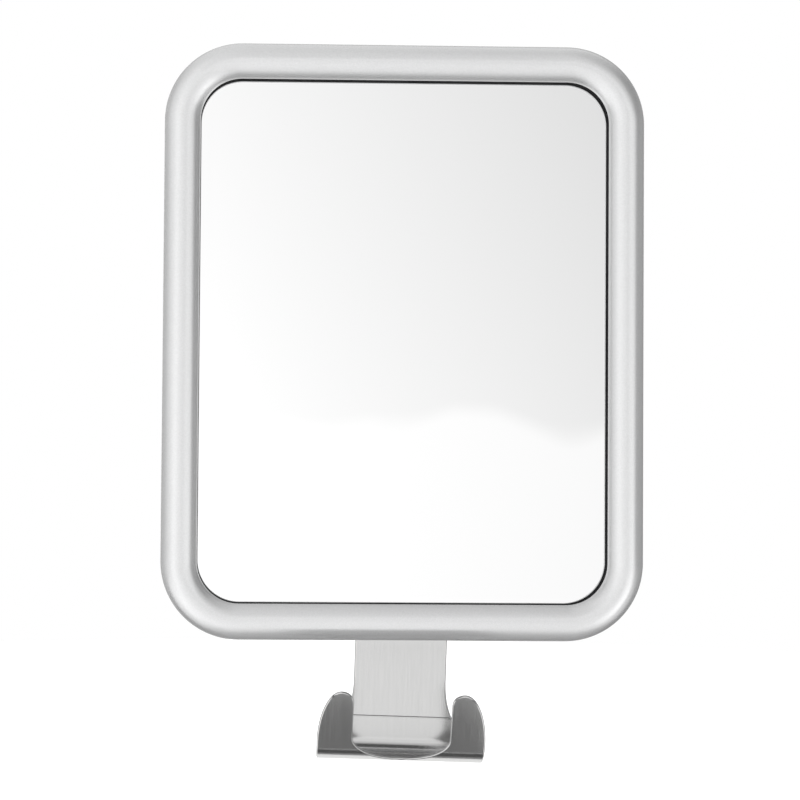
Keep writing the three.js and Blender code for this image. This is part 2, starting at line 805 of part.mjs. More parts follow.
// Middle line of the bent sheet, as [depth, z] points with the direction that the sheet faces.
function hookCentreLine() {
  const kick = radians(creaseAngle);
  const lean = radians(prongLean);
  const radius = bendOuterRadius - sheetThickness / 2;
  const centreZ = hookBottom + bendOuterRadius;
  const creaseZ = hookBottom + creaseHeight;
  const bendStartZ = centreZ + radius * Math.sin(kick);
  const centreDepth =
    stripMiddle - (creaseZ - bendStartZ) * Math.tan(kick) + radius * Math.cos(kick);
  const line = [
    { depth: stripMiddle, z: hookTop + cutOverrun, facing: 0 },
    { depth: stripMiddle, z: creaseZ, facing: kick / 2 },
  ];
  for (let step = 0; step <= bendSteps; step += 1) {
    const turn = Math.PI - kick + ((Math.PI - lean + kick) * step) / bendSteps;
    line.push({
      depth: centreDepth + radius * Math.cos(turn),
      z: centreZ + radius * Math.sin(turn),
      facing: kick - ((Math.PI - lean + kick) * step) / bendSteps,
    });
  }
  const bendEnd = line.at(-1);
  const rise = hookBottom + prongHeight + cutOverrun - bendEnd.z;
  line.push({
    depth: bendEnd.depth + rise * Math.tan(lean),
    z: bendEnd.z + rise,
    facing: bendEnd.facing,
  });
  return { line, centreDepth };
}

// The bent sheet at its full width, before its outline is cut.
function bentSheet() {
  const { line } = hookCentreLine();
  const offset = (side) =>
    line.map(({ depth, z, facing }) => {
      const away = (side * sheetThickness) / 2;
      return new THREE.Vector2(depth + away * Math.cos(facing), z - away * Math.sin(facing));
    });
  const section = new THREE.Shape([...offset(1), ...offset(-1).reverse()]);
  const width = prongSpan + 2 * cutOverrun;
  const geometry = new THREE.ExtrudeGeometry(section, { depth: width, bevelEnabled: false });
  geometry.translate(0, 0, -width / 2);
  const across = new THREE.Matrix4().makeBasis(
    new THREE.Vector3(0, -1, 0),
    new THREE.Vector3(0, 0, 1),
    new THREE.Vector3(-1, 0, 0),
  );
  return solidOf(geometry.applyMatrix4(across));
}

// Outline of the strip: rounded at the top, flared to the prongs' span at the bottom.
function stripOutline() {
  const half = stripWidth / 2;
  const wide = prongSpan / 2;
  const base = hookBottom - cutOverrun;
  const waist = hookBottom + flareWaistHeight;
  const shoulder = hookBottom + prongShoulder;
  const corner = hookTop - stripCornerRadius;
  const outline = new THREE.Shape();
  outline.moveTo(-prongBaseSpan / 2, base);
  outline.lineTo(prongBaseSpan / 2, base);
  outline.lineTo(wide, shoulder);
  outline.quadraticCurveTo(half, waist, half, hookBottom + flareHeight);
  outline.absarc(half - stripCornerRadius, corner, stripCornerRadius, 0, quarterTurn, false);
  outline.absarc(-half + stripCornerRadius, corner, stripCornerRadius, quarterTurn, Math.PI, false);
  outline.lineTo(-half, hookBottom + flareHeight);
  outline.quadraticCurveTo(-half, waist, -wide, shoulder);
  outline.closePath();
  return outline;
}

// Outline of the two prongs: curved outside edges, rounded tips and a deep gap between them.
function prongOutline() {
  const wide = prongSpan / 2;
  const gap = prongGap / 2;
  const tip = wide - prongTipInset;
  const base = hookBottom - cutOverrun;
  const shoulder = hookBottom + prongShoulder;
  const top = hookBottom + prongHeight;
  const floor = hookBottom + gapFloorHeight;
  const outerRise = top - shoulder;
  const gapRound = floor + gapFloorRise;
  const outline = new THREE.Shape();
  outline.moveTo(-prongBaseSpan / 2, base);
  outline.lineTo(prongBaseSpan / 2, base);
  outline.lineTo(wide, shoulder);
  outline.absellipse(tip, shoulder, prongTipInset, outerRise, 0, quarterTurn, false, 0);
  outline.absellipse(tip, top - prongTipDrop, tip - gap, prongTipDrop, quarterTurn, Math.PI, false, 0);
  outline.absellipse(0, gapRound, gap, gapFloorRise, 0, -quarterTurn, true, 0);
  outline.absellipse(0, gapRound, gap, gapFloorRise, -quarterTurn, -Math.PI, true, 0);
  outline.absellipse(-tip, top - prongTipDrop, tip - gap, prongTipDrop, 0, quarterTurn, false, 0);
  outline.absellipse(-tip, shoulder, prongTipInset, outerRise, quarterTurn, Math.PI, false, 0);
  outline.closePath();
  return outline;
}

// Razor hook, drawn about the middle and then moved to its screws, a little right of the frame's middle.
// The slack in its screw holes lets it sit slightly off square, as in the photograph.
function hookBracket() {
  const { centreDepth } = hookCentreLine();
  const reach = prongHeight + bendOuterRadius;
  const rear = plate(stripOutline(), stripMiddle - reach, centreDepth);
  const front = plate(prongOutline(), centreDepth - fitGap, centreDepth + reach);
  const holes = hookScrewPlaces().map(([x, z]) =>
    rod(screwShankRadius + hookHoleSlack, stripMiddle - reach, coverRear, x - hookOffset, z),
  );
  const sheet = without(bentSheet().intersect(rear.add(front)), holes);
  const [pivotX, pivotZ] = hookScrewPlaces()[0];
  const turn = new THREE.Matrix4().makeRotationY(radians(hookTurn));
  const away = new THREE.Matrix4().makeTranslation(0, 0, -pivotZ);
  const back = new THREE.Matrix4().makeTranslation(pivotX, 0, pivotZ);
  const mesh = piece("hook_bracket", sheet, finishes.steel);
  mesh.geometry.applyMatrix4(back.multiply(turn).multiply(away));
  return mesh;
}

function hookScrews() {
  const head = stripFront - sheetThickness - fitGap - screwHeadHeight;
  const names = ["hook_screw_upper", "hook_screw_lower"];
  return hookScrewPlaces().map((place, number) =>
    panScrew(names[number], place, head, hookScrewLength),
  );
}

// The pin goes through the stem and rides on the ring's ramps.
function crossPin() {
  return piece("cross_pin", crossBar(pinRadius, pinLength), finishes.steel);
}

// A group holds the meshes that move together.
function group(...meshes) {
  const holder = new THREE.Group();
  holder.add(...meshes.flat());
  return holder;
}

const wallGroup = group(suctionCup(), cupStem(), crossPin());
const mountGroup = group(mountHousing(), ringClip(), swivelWasher(), swivelCap(), lockRing());
const jointGroup = group(ballStud(), socketLiner());
const headGroup = group(
  frameBezel(),
  mirrorPanel(),
  sealGasket(),
  foamStrips(),
  backCover(),
  coverScrews(),
  socketCap(),
  capScrews(),
  hookBracket(),
  hookScrews(),
);

export default group(wallGroup, mountGroup, jointGroup, headGroup);
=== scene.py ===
# %% [markdown]
# This lesson dresses a shower mirror that hangs on a suction cup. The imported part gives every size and
# place, and each piece is rebuilt here as a smooth surface and given its finish. The order is tools,
# finishes, the mirror's head, the hook, the ball joint, the wall mount and last the studio.
# Depth means distance from the wall in millimetres. The wall is the plane y = 0 and the room lies
# towards -Y, so a point at depth d has y = -d / 1000 in metres.

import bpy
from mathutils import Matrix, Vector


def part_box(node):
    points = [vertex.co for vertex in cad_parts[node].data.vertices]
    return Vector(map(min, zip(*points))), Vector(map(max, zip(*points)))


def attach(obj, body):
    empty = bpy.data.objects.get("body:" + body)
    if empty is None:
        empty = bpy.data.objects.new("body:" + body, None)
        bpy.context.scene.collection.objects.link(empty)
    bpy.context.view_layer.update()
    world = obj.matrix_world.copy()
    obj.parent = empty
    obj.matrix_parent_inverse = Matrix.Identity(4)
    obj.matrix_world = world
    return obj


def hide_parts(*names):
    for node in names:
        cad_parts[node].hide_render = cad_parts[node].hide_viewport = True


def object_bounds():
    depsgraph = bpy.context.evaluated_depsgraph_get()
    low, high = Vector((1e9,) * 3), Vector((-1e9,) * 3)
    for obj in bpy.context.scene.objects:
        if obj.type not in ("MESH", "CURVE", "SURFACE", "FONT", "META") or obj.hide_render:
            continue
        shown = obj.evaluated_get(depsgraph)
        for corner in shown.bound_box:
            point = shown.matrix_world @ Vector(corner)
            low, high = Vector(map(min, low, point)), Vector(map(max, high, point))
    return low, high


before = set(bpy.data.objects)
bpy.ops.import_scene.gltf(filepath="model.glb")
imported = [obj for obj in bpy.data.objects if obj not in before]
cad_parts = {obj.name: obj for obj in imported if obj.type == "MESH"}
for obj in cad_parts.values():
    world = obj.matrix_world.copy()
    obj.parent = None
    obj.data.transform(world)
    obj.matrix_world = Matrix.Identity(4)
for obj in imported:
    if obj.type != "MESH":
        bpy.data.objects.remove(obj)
cad_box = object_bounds()
print("CAD box, metres", [round(side, 4) for corner in cad_box for side in corner])

# %% Libraries and units
import math

import bmesh
import bpy
import numpy as np
from mathutils import Matrix, Vector

MM = 0.001
FULL = 2 * math.pi
QUARTER = math.pi / 2

# %% [markdown]
# Each shape below is a function of two parameters. A turned part is a profile carried round the wall's
# normal, and the frame is a section carried round a rounded rectangle. Modelling them by hand with
# loop cuts would work too, but a formula keeps every fillet at its true radius and is easy to change.

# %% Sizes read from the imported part
def depths(node):
    """Depth of a node's rear and front, in millimetres."""
    low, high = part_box(node)
    return -high.y / MM, -low.y / MM


def half_size(node):
    """Half of a node's width and half of its height, in millimetres."""
    low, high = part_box(node)
    return (high.x - low.x) / 2 / MM, (high.z - low.z) / 2 / MM


# %% Profiles with rounded corners
def eased(corners, radius, steps=4, loop=False):
    """Rounds the corners of a polyline. Round each corner runs the curve (1-t)^2 a + 2t(1-t) c + t^2 b,
    where c is the corner and a and b lie on its two sides, a radius away or 0.45 of the shorter side."""
    corners = np.asarray(corners, float)
    back = np.roll(corners, 1, 0) - corners
    ahead = np.roll(corners, -1, 0) - corners
    back_length = np.linalg.norm(back, axis=1, keepdims=True)
    ahead_length = np.linalg.norm(ahead, axis=1, keepdims=True)
    reach = np.minimum(np.reshape(radius, (-1, 1)), 0.45 * np.minimum(back_length, ahead_length))
    a = (corners + back / back_length * reach)[:, None]
    b = (corners + ahead / ahead_length * reach)[:, None]
    t = np.linspace(0, 1, steps + 1)[None, :, None]
    curve = (1 - t) ** 2 * a + 2 * t * (1 - t) * corners[:, None] + t**2 * b
    if not loop:
        curve[0], curve[-1] = corners[0], corners[-1]
    curve = curve.reshape(-1, 2)
    moved = np.linalg.norm(np.diff(curve, axis=0), axis=1) > 1e-6
    return curve[np.r_[True, moved]]


def quarter_roll(foot, crown, steps=14):
    """Quarter of an ellipse as [inset, depth] pairs, upright at the foot and level at the crown."""
    angle = np.linspace(0, QUARTER, steps + 1)
    inset = crown[0] + (foot[0] - crown[0]) * np.cos(angle)
    return np.stack([inset, foot[1] + (crown[1] - foot[1]) * np.sin(angle)], 1)


# %% New objects from points
def shape(name, points, faces):
    """New object in the scene from a list of points, in metres, and a list of faces."""
    mesh = bpy.data.meshes.new(name)
    mesh.from_pydata(points, [], faces)
    thing = bpy.data.objects.new(name, mesh)
    bpy.context.scene.collection.objects.link(thing)
    return thing


# %% Welding and smooth shading
def weld(mesh, distance, closed=True):
    """Joins points nearer than a distance, in metres. A closed mesh gets its faces turned outwards."""
    bm = bmesh.new()
    bm.from_mesh(mesh)
    bmesh.ops.remove_doubles(bm, verts=bm.verts, dist=distance)
    bmesh.ops.dissolve_degenerate(bm, edges=bm.edges, dist=distance / 10)
    if closed and bm.calc_volume(signed=True) < 0:
        bmesh.ops.reverse_faces(bm, faces=bm.faces)
    bm.to_mesh(mesh)
    bm.free()


def settle(mesh, sharp_degrees=32):
    """Welds the grid's seams and poles, shades it smooth and keeps edges sharper than the angle."""
    weld(mesh, 1e-7)
    mesh.shade_smooth()
    mesh.set_sharp_from_angle(angle=math.radians(sharp_degrees))


# %% Surfaces from grids of points
def skin(name, points, loop=False, sharp_degrees=32):
    """Object whose quads join a grid of points, in millimetres, of shape (rows, columns, 3).
    Columns always close round. Rows close too if loop is true, and otherwise end in poles."""
    rows, columns, _ = points.shape
    row = np.arange(rows if loop else rows - 1)[:, None]
    column = np.arange(columns)[None, :]
    next_row = (row + 1) % rows
    next_column = (column + 1) % columns
    corners = [row * columns + column, row * columns + next_column,
               next_row * columns + next_column, next_row * columns + column]
    quads = np.stack(np.broadcast_arrays(*corners), -1).reshape(-1, 4)
    piece = shape(name, (points.reshape(-1, 3) * MM).tolist(), quads.tolist())
    settle(piece.data, sharp_degrees)
    return piece


# %% Grids of turned profiles
def turned(profile, steps=96, x=0.0, z=0.0, flutes=0, flute_depth=0.0, flute_share=None):
    """Grid of a profile of [radius, depth] pairs turned about the wall's normal:
    (x + r cos a, -depth, z + r sin a). Flutes shrink r by share * depth * (1 - cos(count * a)) / 2."""
    profile = np.asarray(profile, float)
    angle = np.arange(steps) / steps * FULL
    radius = np.repeat(profile[:, :1], steps, 1)
    if flutes:
        radius = radius - np.reshape(flute_share, (-1, 1)) * flute_depth * (1 - np.cos(flutes * angle)) / 2
    depth = np.repeat(profile[:, 1:], steps, 1)
    return np.stack([x + radius * np.cos(angle), -depth, z + radius * np.sin(angle)], -1)


# %% Hand a piece to the frame
finishes = {}


def fit(piece, body, slot, *nodes):
    """Paints a finished piece, lets it ride on its body and hides the CAD nodes that it stands for."""
    piece.data.materials.clear()
    piece.data.materials.append(finishes[slot])
    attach(piece, body)
    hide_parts(*nodes)
    print(piece.name, "has", len(piece.data.polygons), "faces")


def paint(node, slot):
    """Gives a CAD node that stays in view the finish of its slot."""
    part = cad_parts[node]
    part.data.materials.clear()
    part.data.materials.append(finishes[slot])


# %% [markdown]
# Finishes come next. Several of them share an effect, such as a fine grain, brushing or worn edges.
# Each effect is a node group with named inputs, built once, and the shader itself stays in the material.
# A picture texture could do the same, but a procedural one has no seams and no resolution limit.

# %% Helpers for node trees
def add(tree, kind, sockets=None, **settings):
    """Adds a shader node. An entry of sockets is either a value or a socket to link."""
    node = tree.nodes.new("ShaderNode" + kind)
    for key, value in settings.items():
        setattr(node, key, value)
    for key, value in (sockets or {}).items():
        if isinstance(value, bpy.types.NodeSocket):
            tree.links.new(value, node.inputs[key])
        else:
            node.inputs[key].default_value = value
    return node


def maths(tree, operation, *values, clamp=False):
    """Result of a Math node."""
    return add(tree, "Math", dict(enumerate(values)), operation=operation, use_clamp=clamp).outputs[0]


def remap(tree, value, low, high, to_low, to_high):
    """Smooth step of a value from one range to another."""
    sockets = {"Value": value, "From Min": low, "From Max": high, "To Min": to_low, "To Max": to_high}
    return add(tree, "MapRange", sockets, interpolation_type="SMOOTHSTEP").outputs[0]


def blend(tree, factor, first, second):
    """Number between the first, at factor 0, and the second, at factor 1."""
    return add(tree, "Mix", {"Factor": factor, "A": first, "B": second}).outputs[0]


def either(tree, factor, first, second):
    """First shader where the factor is 0 and the second where it is 1."""
    return add(tree, "MixShader", {0: factor, 1: first, 2: second}).outputs[0]


def effect(name, inputs, outputs):
    """Empty node group with named inputs (name: default) and outputs; a vector input's default is None."""
    tree = bpy.data.node_groups.new(name, "ShaderNodeTree")
    for label, value in inputs.items():
        kind = "NodeSocketVector" if value is None else "NodeSocketFloat"
        socket = tree.interface.new_socket(label, in_out="INPUT", socket_type=kind)
        if value is not None:
            socket.default_value = value
    for label in outputs:
        tree.interface.new_socket(label, in_out="OUTPUT", socket_type="NodeSocketFloat")
    return tree, tree.nodes.new("NodeGroupInput").outputs, tree.nodes.new("NodeGroupOutput").inputs


def place(tree, group, **sockets):
    """Puts an effect into a material's tree; underscores in the names stand for spaces."""
    node = tree.nodes.new("ShaderNodeGroup")
    node.node_tree = group
    for key, value in sockets.items():
        name = key.replace("_", " ")
        if isinstance(value, bpy.types.NodeSocket):
            tree.links.new(value, node.inputs[name])
        else:
            node.inputs[name].default_value = value
    return node.outputs


# %% [markdown]
# Metallic paint holds tiny aluminium flakes that lie at slightly different angles, so a close look shows
# a fine sparkle. Cells of random brightness about a third of a millimetre wide give it, and a finer noise
# adds the bump.

# %% Effect: metal flake
flake, given, result = effect("Metal flake", {"Vector": None, "Flakes per metre": 3000.0, "Contrast": 0.1},
                              ["Shade", "Height"])
cells = add(flake, "TexVoronoi", {"Vector": given["Vector"], "Scale": given["Flakes per metre"]})
tone = add(flake, "SeparateColor", {"Color": cells.outputs["Color"]}).outputs[0]
spread = maths(flake, "MULTIPLY", maths(flake, "SUBTRACT", tone, 0.5), given["Contrast"])
flake.links.new(maths(flake, "ADD", spread, 1.0), result["Shade"])
fine = add(flake, "TexNoise", {"Vector": given["Vector"], "Scale": given["Flakes per metre"], "Detail": 1.0})
flake.links.new(fine.outputs[0], result["Height"])

# %% [markdown]
# Brushed steel carries long, hair-thin scratches in one direction. Noise that is stretched along the
# brushing gives them: coordinates across the grain are scaled up, and those along it are scaled down.

# %% Effect: brushed grain
brushed, given, result = effect("Brushed grain", {"Vector": None, "Lines per metre": 4000.0, "Stretch": 60.0},
                                ["Streak", "Height"])
axes = add(brushed, "SeparateXYZ", {0: given["Vector"]}).outputs
across = maths(brushed, "MULTIPLY", axes[0], given["Lines per metre"])
along_rate = maths(brushed, "DIVIDE", given["Lines per metre"], given["Stretch"])
along = maths(brushed, "MULTIPLY", axes[1], along_rate)
grain_place = add(brushed, "CombineXYZ", {0: across, 1: along, 2: axes[2]}).outputs[0]
hairs = add(brushed, "TexNoise", {"Vector": grain_place, "Scale": 1.0, "Detail": 4.0, "Roughness": 0.7})
broad_place = add(brushed, "VectorMath", {0: grain_place, 1: (0.2, 0.2, 0.2)}, operation="MULTIPLY")
broad = add(brushed, "TexNoise", {"Vector": broad_place.outputs[0], "Scale": 1.0, "Detail": 2.0})
both = maths(brushed, "ADD", maths(brushed, "MULTIPLY", hairs.outputs[0], 0.75),
             maths(brushed, "MULTIPLY", broad.outputs[0], 0.25))
brushed.links.new(both, result["Streak"])
brushed.links.new(hairs.outputs[0], result["Height"])

# %% [markdown]
# Moulded plastic takes the fine eroded texture of its mould, and rubber has a softer one. Both are a
# noise used as height, with a slow second noise that varies the gloss a little over the piece.

# %% Effect: moulded grain
moulded, given, result = effect("Moulded grain", {"Vector": None, "Grains per metre": 2500.0},
                                ["Height", "Mottle"])
pits = add(moulded, "TexNoise", {"Vector": given["Vector"], "Scale": given["Grains per metre"],
                                 "Detail": 3.0, "Roughness": 0.6})
slow_scale = maths(moulded, "DIVIDE", given["Grains per metre"], 60.0)
slow = add(moulded, "TexNoise", {"Vector": given["Vector"], "Scale": slow_scale, "Detail": 2.0})
moulded.links.new(pits.outputs[0], result["Height"])
moulded.links.new(slow.outputs[0], result["Mottle"])

# %% [markdown]
# Hands and cloths polish the edges of a part first. Pointiness is high where a mesh bends outwards, and
# a noise breaks the mask up so that the wear doesn't look drawn on.

# %% Effect: edge wear
wear, given, result = effect("Edge wear", {"Vector": None, "Start": 0.53, "Full": 0.62,
                                           "Patches per metre": 400.0}, ["Mask"])
point = add(wear, "NewGeometry").outputs["Pointiness"]
edge = add(wear, "MapRange", {"Value": point, "From Min": given["Start"], "From Max": given["Full"]})
patch = add(wear, "TexNoise", {"Vector": given["Vector"], "Scale": given["Patches per metre"], "Detail": 3.0})
broken_up = remap(wear, patch.outputs[0], 0.35, 0.6, 0.3, 1.0)
wear.links.new(maths(wear, "MULTIPLY", edge.outputs[0], broken_up), result["Mask"])

# %% [markdown]
# In a shower, drops dry on every glossy surface and leave faint rings. A ring is where the distance to
# the nearest cell centre has one value, and only a few cells, chosen by their random colour, get one.

# %% Effect: water marks
marks, given, result = effect("Water marks", {"Vector": None, "Drops per metre": 120.0, "Share": 0.3},
                              ["Mask"])
drops = add(marks, "TexVoronoi", {"Vector": given["Vector"], "Scale": given["Drops per metre"]})
chance = add(marks, "SeparateColor", {"Color": drops.outputs["Color"]}).outputs
size = maths(marks, "MULTIPLY_ADD", chance[1], 0.2, 0.12)
off_ring = maths(marks, "ABSOLUTE", maths(marks, "SUBTRACT", drops.outputs["Distance"], size))
ring = remap(marks, off_ring, 0.0, 0.05, 1.0, 0.0)
chosen = maths(marks, "LESS_THAN", chance[0], given["Share"])
marks.links.new(maths(marks, "MULTIPLY", ring, chosen), result["Mask"])
print("effects", sorted(group.name for group in bpy.data.node_groups))


# %% Start of every finish
def finish(slot, colour, roughness, metallic=0.0, **sockets):
    """New material with a Principled shader. Returns its tree, shader and Object coordinates."""
    material = bpy.data.materials.new(slot)
    material.use_nodes = True
    tree = material.node_tree
    shader = tree.nodes["Principled BSDF"]
    shader.inputs["Base Color"].default_value = (*colour, 1.0)
    shader.inputs["Roughness"].default_value = roughness
    shader.inputs["Metallic"].default_value = metallic
    for key, value in sockets.items():
        shader.inputs[key.replace("_", " ")].default_value = value
    finishes[slot] = material
    return tree, shader, add(tree, "TexCoord").outputs["Object"]


def shaded(tree, shader, colour, shade):
    """Base Color is the colour times a shade that varies over the surface."""
    mix = add(tree, "VectorMath", {0: colour, 1: shade}, operation="MULTIPLY")
    tree.links.new(mix.outputs[0], shader.inputs["Base Color"])


def varied(tree, shader, middle, swing, value):
    """Roughness is the middle plus a swing times (value - 0.5)."""
    offset = maths(tree, "MULTIPLY", maths(tree, "SUBTRACT", value, 0.5), swing)
    tree.links.new(maths(tree, "ADD", offset, middle, clamp=True), shader.inputs["Roughness"])


def bumped(tree, shader, height, distance):
    """Bump from a height, with its distance in metres."""
    bump = add(tree, "Bump", {"Height": height, "Distance": distance, "Strength": 1.0})
    tree.links.new(bump.outputs[0], shader.inputs["Normal"])


# %% [markdown]
# The frame is plastic with a satin metallic silver paint. Its flakes make it partly metallic, and the
# clear lacquer over them is a thin coat. The twist ring wears the same paint. Where the frame meets the
# glass the paint is darkened a little: this is painted shade, standing for the shade on the inner flank.
# The attribute "inset" gives each point's distance from the frame's outer edge, in millimetres.

# %% Finish: silver paint
silver = (0.74, 0.742, 0.745)
tree, shader, place_in_part = finish("frame_silver", silver, 0.25, 0.6, Coat_Weight=0.15, Coat_Roughness=0.1)
sparkle = place(tree, flake, Vector=place_in_part, Flakes_per_metre=4500.0, Contrast=0.09)
inset_here = add(tree, "Attribute", attribute_name="inset").outputs["Fac"]
# Painted shade: the paint darkens towards the glass, from an inset of 8 mm to the lip's edge.
painted_joint_shade = maths(tree, "MULTIPLY", remap(tree, inset_here, 8.0, 11.0, 1.0, 0.94),
                    remap(tree, inset_here, 11.6, 12.5, 1.0, 0.86))
shaded(tree, shader, silver, maths(tree, "MULTIPLY", sparkle["Shade"], painted_joint_shade))
varied(tree, shader, 0.25, 0.06, sparkle["Height"])
bumped(tree, shader, sparkle["Height"], 0.00001)

# %% [markdown]
# The mirror is a silvered panel under a clear coating that keeps fog off. It is almost perfectly smooth,
# so nearly all of its look is what it reflects. Faint water marks only change the gloss.

# %% Finish: coated mirror
tree, shader, place_in_part = finish("mirror_coated", (0.968, 0.968, 0.968), 0.015, 1.0)
dried = place(tree, marks, Vector=place_in_part, Drops_per_metre=70.0, Share=0.12)
tree.links.new(maths(tree, "MULTIPLY_ADD", dried["Mask"], 0.012, 0.012), shader.inputs["Roughness"])

# %% [markdown]
# The gasket is a black rubber cord pressed between frame and glass. Only a thin line of it shows, so it
# has hardly any gloss and a soft grain.

# %% Finish: black gasket
tree, shader, place_in_part = finish("gasket_black", (0.008, 0.008, 0.009), 0.7, Specular_IOR_Level=0.08)
texture = place(tree, moulded, Vector=place_in_part, Grains_per_metre=4000.0)
varied(tree, shader, 0.7, 0.2, texture["Mottle"])
bumped(tree, shader, texture["Height"], 0.00003)

# %% [markdown]
# The hook is stainless steel, brushed along the strip before it was bent, so the brushing follows the
# bend. Object coordinates would cut straight through it. The hook's mesh has a UV map that was laid out
# on the flat strip, and the grain reads that.

# %% Finish: brushed hook steel
hook_tone = (0.65, 0.648, 0.645)
tree, shader, place_in_part = finish("hook_steel", hook_tone, 0.2, 1.0)
strip_place = add(tree, "UVMap", uv_map="flat_strip").outputs[0]
grain = place(tree, brushed, Vector=strip_place, Lines_per_metre=5200.0, Stretch=45.0)
shaded(tree, shader, hook_tone, maths(tree, "MULTIPLY_ADD", grain["Streak"], 0.3, 0.85))
varied(tree, shader, 0.2, 0.2, grain["Streak"])
bumped(tree, shader, grain["Height"], 0.000012)

# %% [markdown]
# Screws, clip and pin are zinc-plated and rolled, so they have a fine even grain. The ball stud is
# turned on a lathe and plated: its bump is a wave along the depth, which reads as the tool's fine rings.

# %% Finish: plated screws and turned stud
zinc = (0.66, 0.66, 0.65)
tree, shader, place_in_part = finish("screw_steel", zinc, 0.32, 1.0)
texture = place(tree, moulded, Vector=place_in_part, Grains_per_metre=6000.0)
rubbed = place(tree, wear, Vector=place_in_part)
shaded(tree, shader, zinc, maths(tree, "MULTIPLY_ADD", rubbed["Mask"], 0.25, 0.95))
varied(tree, shader, 0.32, 0.3, texture["Mottle"])
bumped(tree, shader, texture["Height"], 0.00001)

chrome = (0.78, 0.78, 0.785)
tree, shader, place_in_part = finish("stud_steel", chrome, 0.12, 1.0)
depth_axis = add(tree, "SeparateXYZ", {0: place_in_part}).outputs[1]
rings = maths(tree, "SINE", maths(tree, "MULTIPLY", depth_axis, 24000.0))
bumped(tree, shader, rings, 0.000002)
dried = place(tree, marks, Vector=place_in_part, Drops_per_metre=260.0, Share=0.3)
shaded(tree, shader, chrome, maths(tree, "MULTIPLY_ADD", dried["Mask"], -0.12, 1.0))
tree.links.new(maths(tree, "MULTIPLY_ADD", dried["Mask"], 0.2, 0.12), shader.inputs["Roughness"])

# %% [markdown]
# The tray, the housing and the two caps are moulded in grey plastic with a fine matt texture, rubbed a
# little lighter on the edges that hands touch.

# %% Finish: grey moulded plastic
shell_tone = (0.56, 0.565, 0.575)
tree, shader, place_in_part = finish("shell_grey", shell_tone, 0.48)
texture = place(tree, moulded, Vector=place_in_part, Grains_per_metre=2600.0)
rubbed = place(tree, wear, Vector=place_in_part)
shade = maths(tree, "ADD", maths(tree, "MULTIPLY_ADD", texture["Mottle"], 0.08, 0.95),
              maths(tree, "MULTIPLY", rubbed["Mask"], 0.12))
shaded(tree, shader, shell_tone, shade)
varied(tree, shader, 0.48, 0.16, texture["Mottle"])
bumped(tree, shader, texture["Height"], 0.00006)

# %% [markdown]
# Two hidden parts slide: the liner and the washer are natural nylon, which lets a little light in, and so
# gets some subsurface. The tape that carries the glass is closed-cell foam. Its pores are the cells of a
# Voronoi texture, whose distance dents the middle of each cell and darkens it as painted shade in the pore.

# %% Finish: natural nylon
nylon = (0.82, 0.81, 0.77)
tree, shader, place_in_part = finish("liner_nylon", nylon, 0.4, Subsurface_Weight=0.2, Subsurface_Scale=0.002)
texture = place(tree, moulded, Vector=place_in_part, Grains_per_metre=1800.0)
shaded(tree, shader, nylon, maths(tree, "MULTIPLY_ADD", texture["Mottle"], 0.06, 0.96))
bumped(tree, shader, texture["Height"], 0.00003)

# %% Finish: foam tape
foam = (0.03, 0.03, 0.032)
tree, shader, place_in_part = finish("foam_tape", foam, 0.95)
pores = add(tree, "TexVoronoi", {"Vector": place_in_part, "Scale": 1600.0})
# Painted shade: each pore is darker in its middle.
shaded(tree, shader, foam, maths(tree, "MULTIPLY_ADD", pores.outputs["Distance"], 0.8, 0.6))
bumped(tree, shader, pores.outputs["Distance"], 0.0002)

# %% [markdown]
# The cup is soft black rubber. It is smooth and slightly glossy where it was pressed against the mould,
# with a bloom of dried soap that lightens it here and there.

# %% Finish: cup rubber
rubber = (0.03, 0.031, 0.034)
tree, shader, place_in_part = finish("cup_rubber", rubber, 0.42)
texture = place(tree, moulded, Vector=place_in_part, Grains_per_metre=1500.0)
bloom = place(tree, marks, Vector=place_in_part, Drops_per_metre=140.0, Share=0.35)
shade = maths(tree, "ADD", maths(tree, "MULTIPLY_ADD", texture["Mottle"], 0.5, 0.8),
              maths(tree, "MULTIPLY", bloom["Mask"], 0.1))
shaded(tree, shader, rubber, shade)
varied(tree, shader, 0.42, 0.3, texture["Mottle"])
bumped(tree, shader, texture["Height"], 0.00004)
print("finishes", sorted(finishes))

# %% [markdown]
# The frame is one rolled moulding that runs round a rounded rectangle. A bevelled curve could make it,
# but its corners would share the curve's own spacing. Here a station is a corner's centre with an
# outward direction, and a point of the section at a given inset lies at centre + (R - inset) * outward.
# The corner radius R is measured on the photograph.

# %% The rounded outline of the frame
frame_half_width, frame_half_height = half_size("frame_bezel")
corner_radius = 26.8
corner_centre = np.array([frame_half_width, frame_half_height]) - corner_radius


def outline(corner_steps=28, side_steps=12):
    """Stations round the frame: centres (x, z) and outward directions, both of shape (stations, 2).
    Corner angles advance evenly, and between corners the centre slides along the straight side."""
    signs = np.array([[1, 1], [-1, 1], [-1, -1], [1, -1]])
    share = np.arange(corner_steps + 1) / corner_steps
    angle = (np.arange(4)[:, None] + share) * QUARTER
    outward = np.stack([np.cos(angle), np.sin(angle)], -1)
    centre = np.repeat((signs * corner_centre)[:, None], corner_steps + 1, 1)
    slide = (np.arange(1, side_steps) / side_steps)[None, :, None]
    ahead = np.roll(signs, -1, 0) * corner_centre
    side_centre = centre[:, -1:] * (1 - slide) + ahead[:, None] * slide
    side_outward = np.repeat(outward[:, -1:], side_steps - 1, 1)
    centres = np.concatenate([centre, side_centre], 1).reshape(-1, 2)
    return centres, np.concatenate([outward, side_outward], 1).reshape(-1, 2)


def framed(section):
    """Grid of a section of [inset, depth] pairs carried round the frame."""
    centres, outward = outline()
    section = np.asarray(section, float)
    flat = centres[None] + (corner_radius - section[:, None, :1]) * outward[None]
    depth = np.repeat(section[:, 1:], len(centres), 1)
    return np.stack([flat[..., 0], -depth, flat[..., 1]], -1)


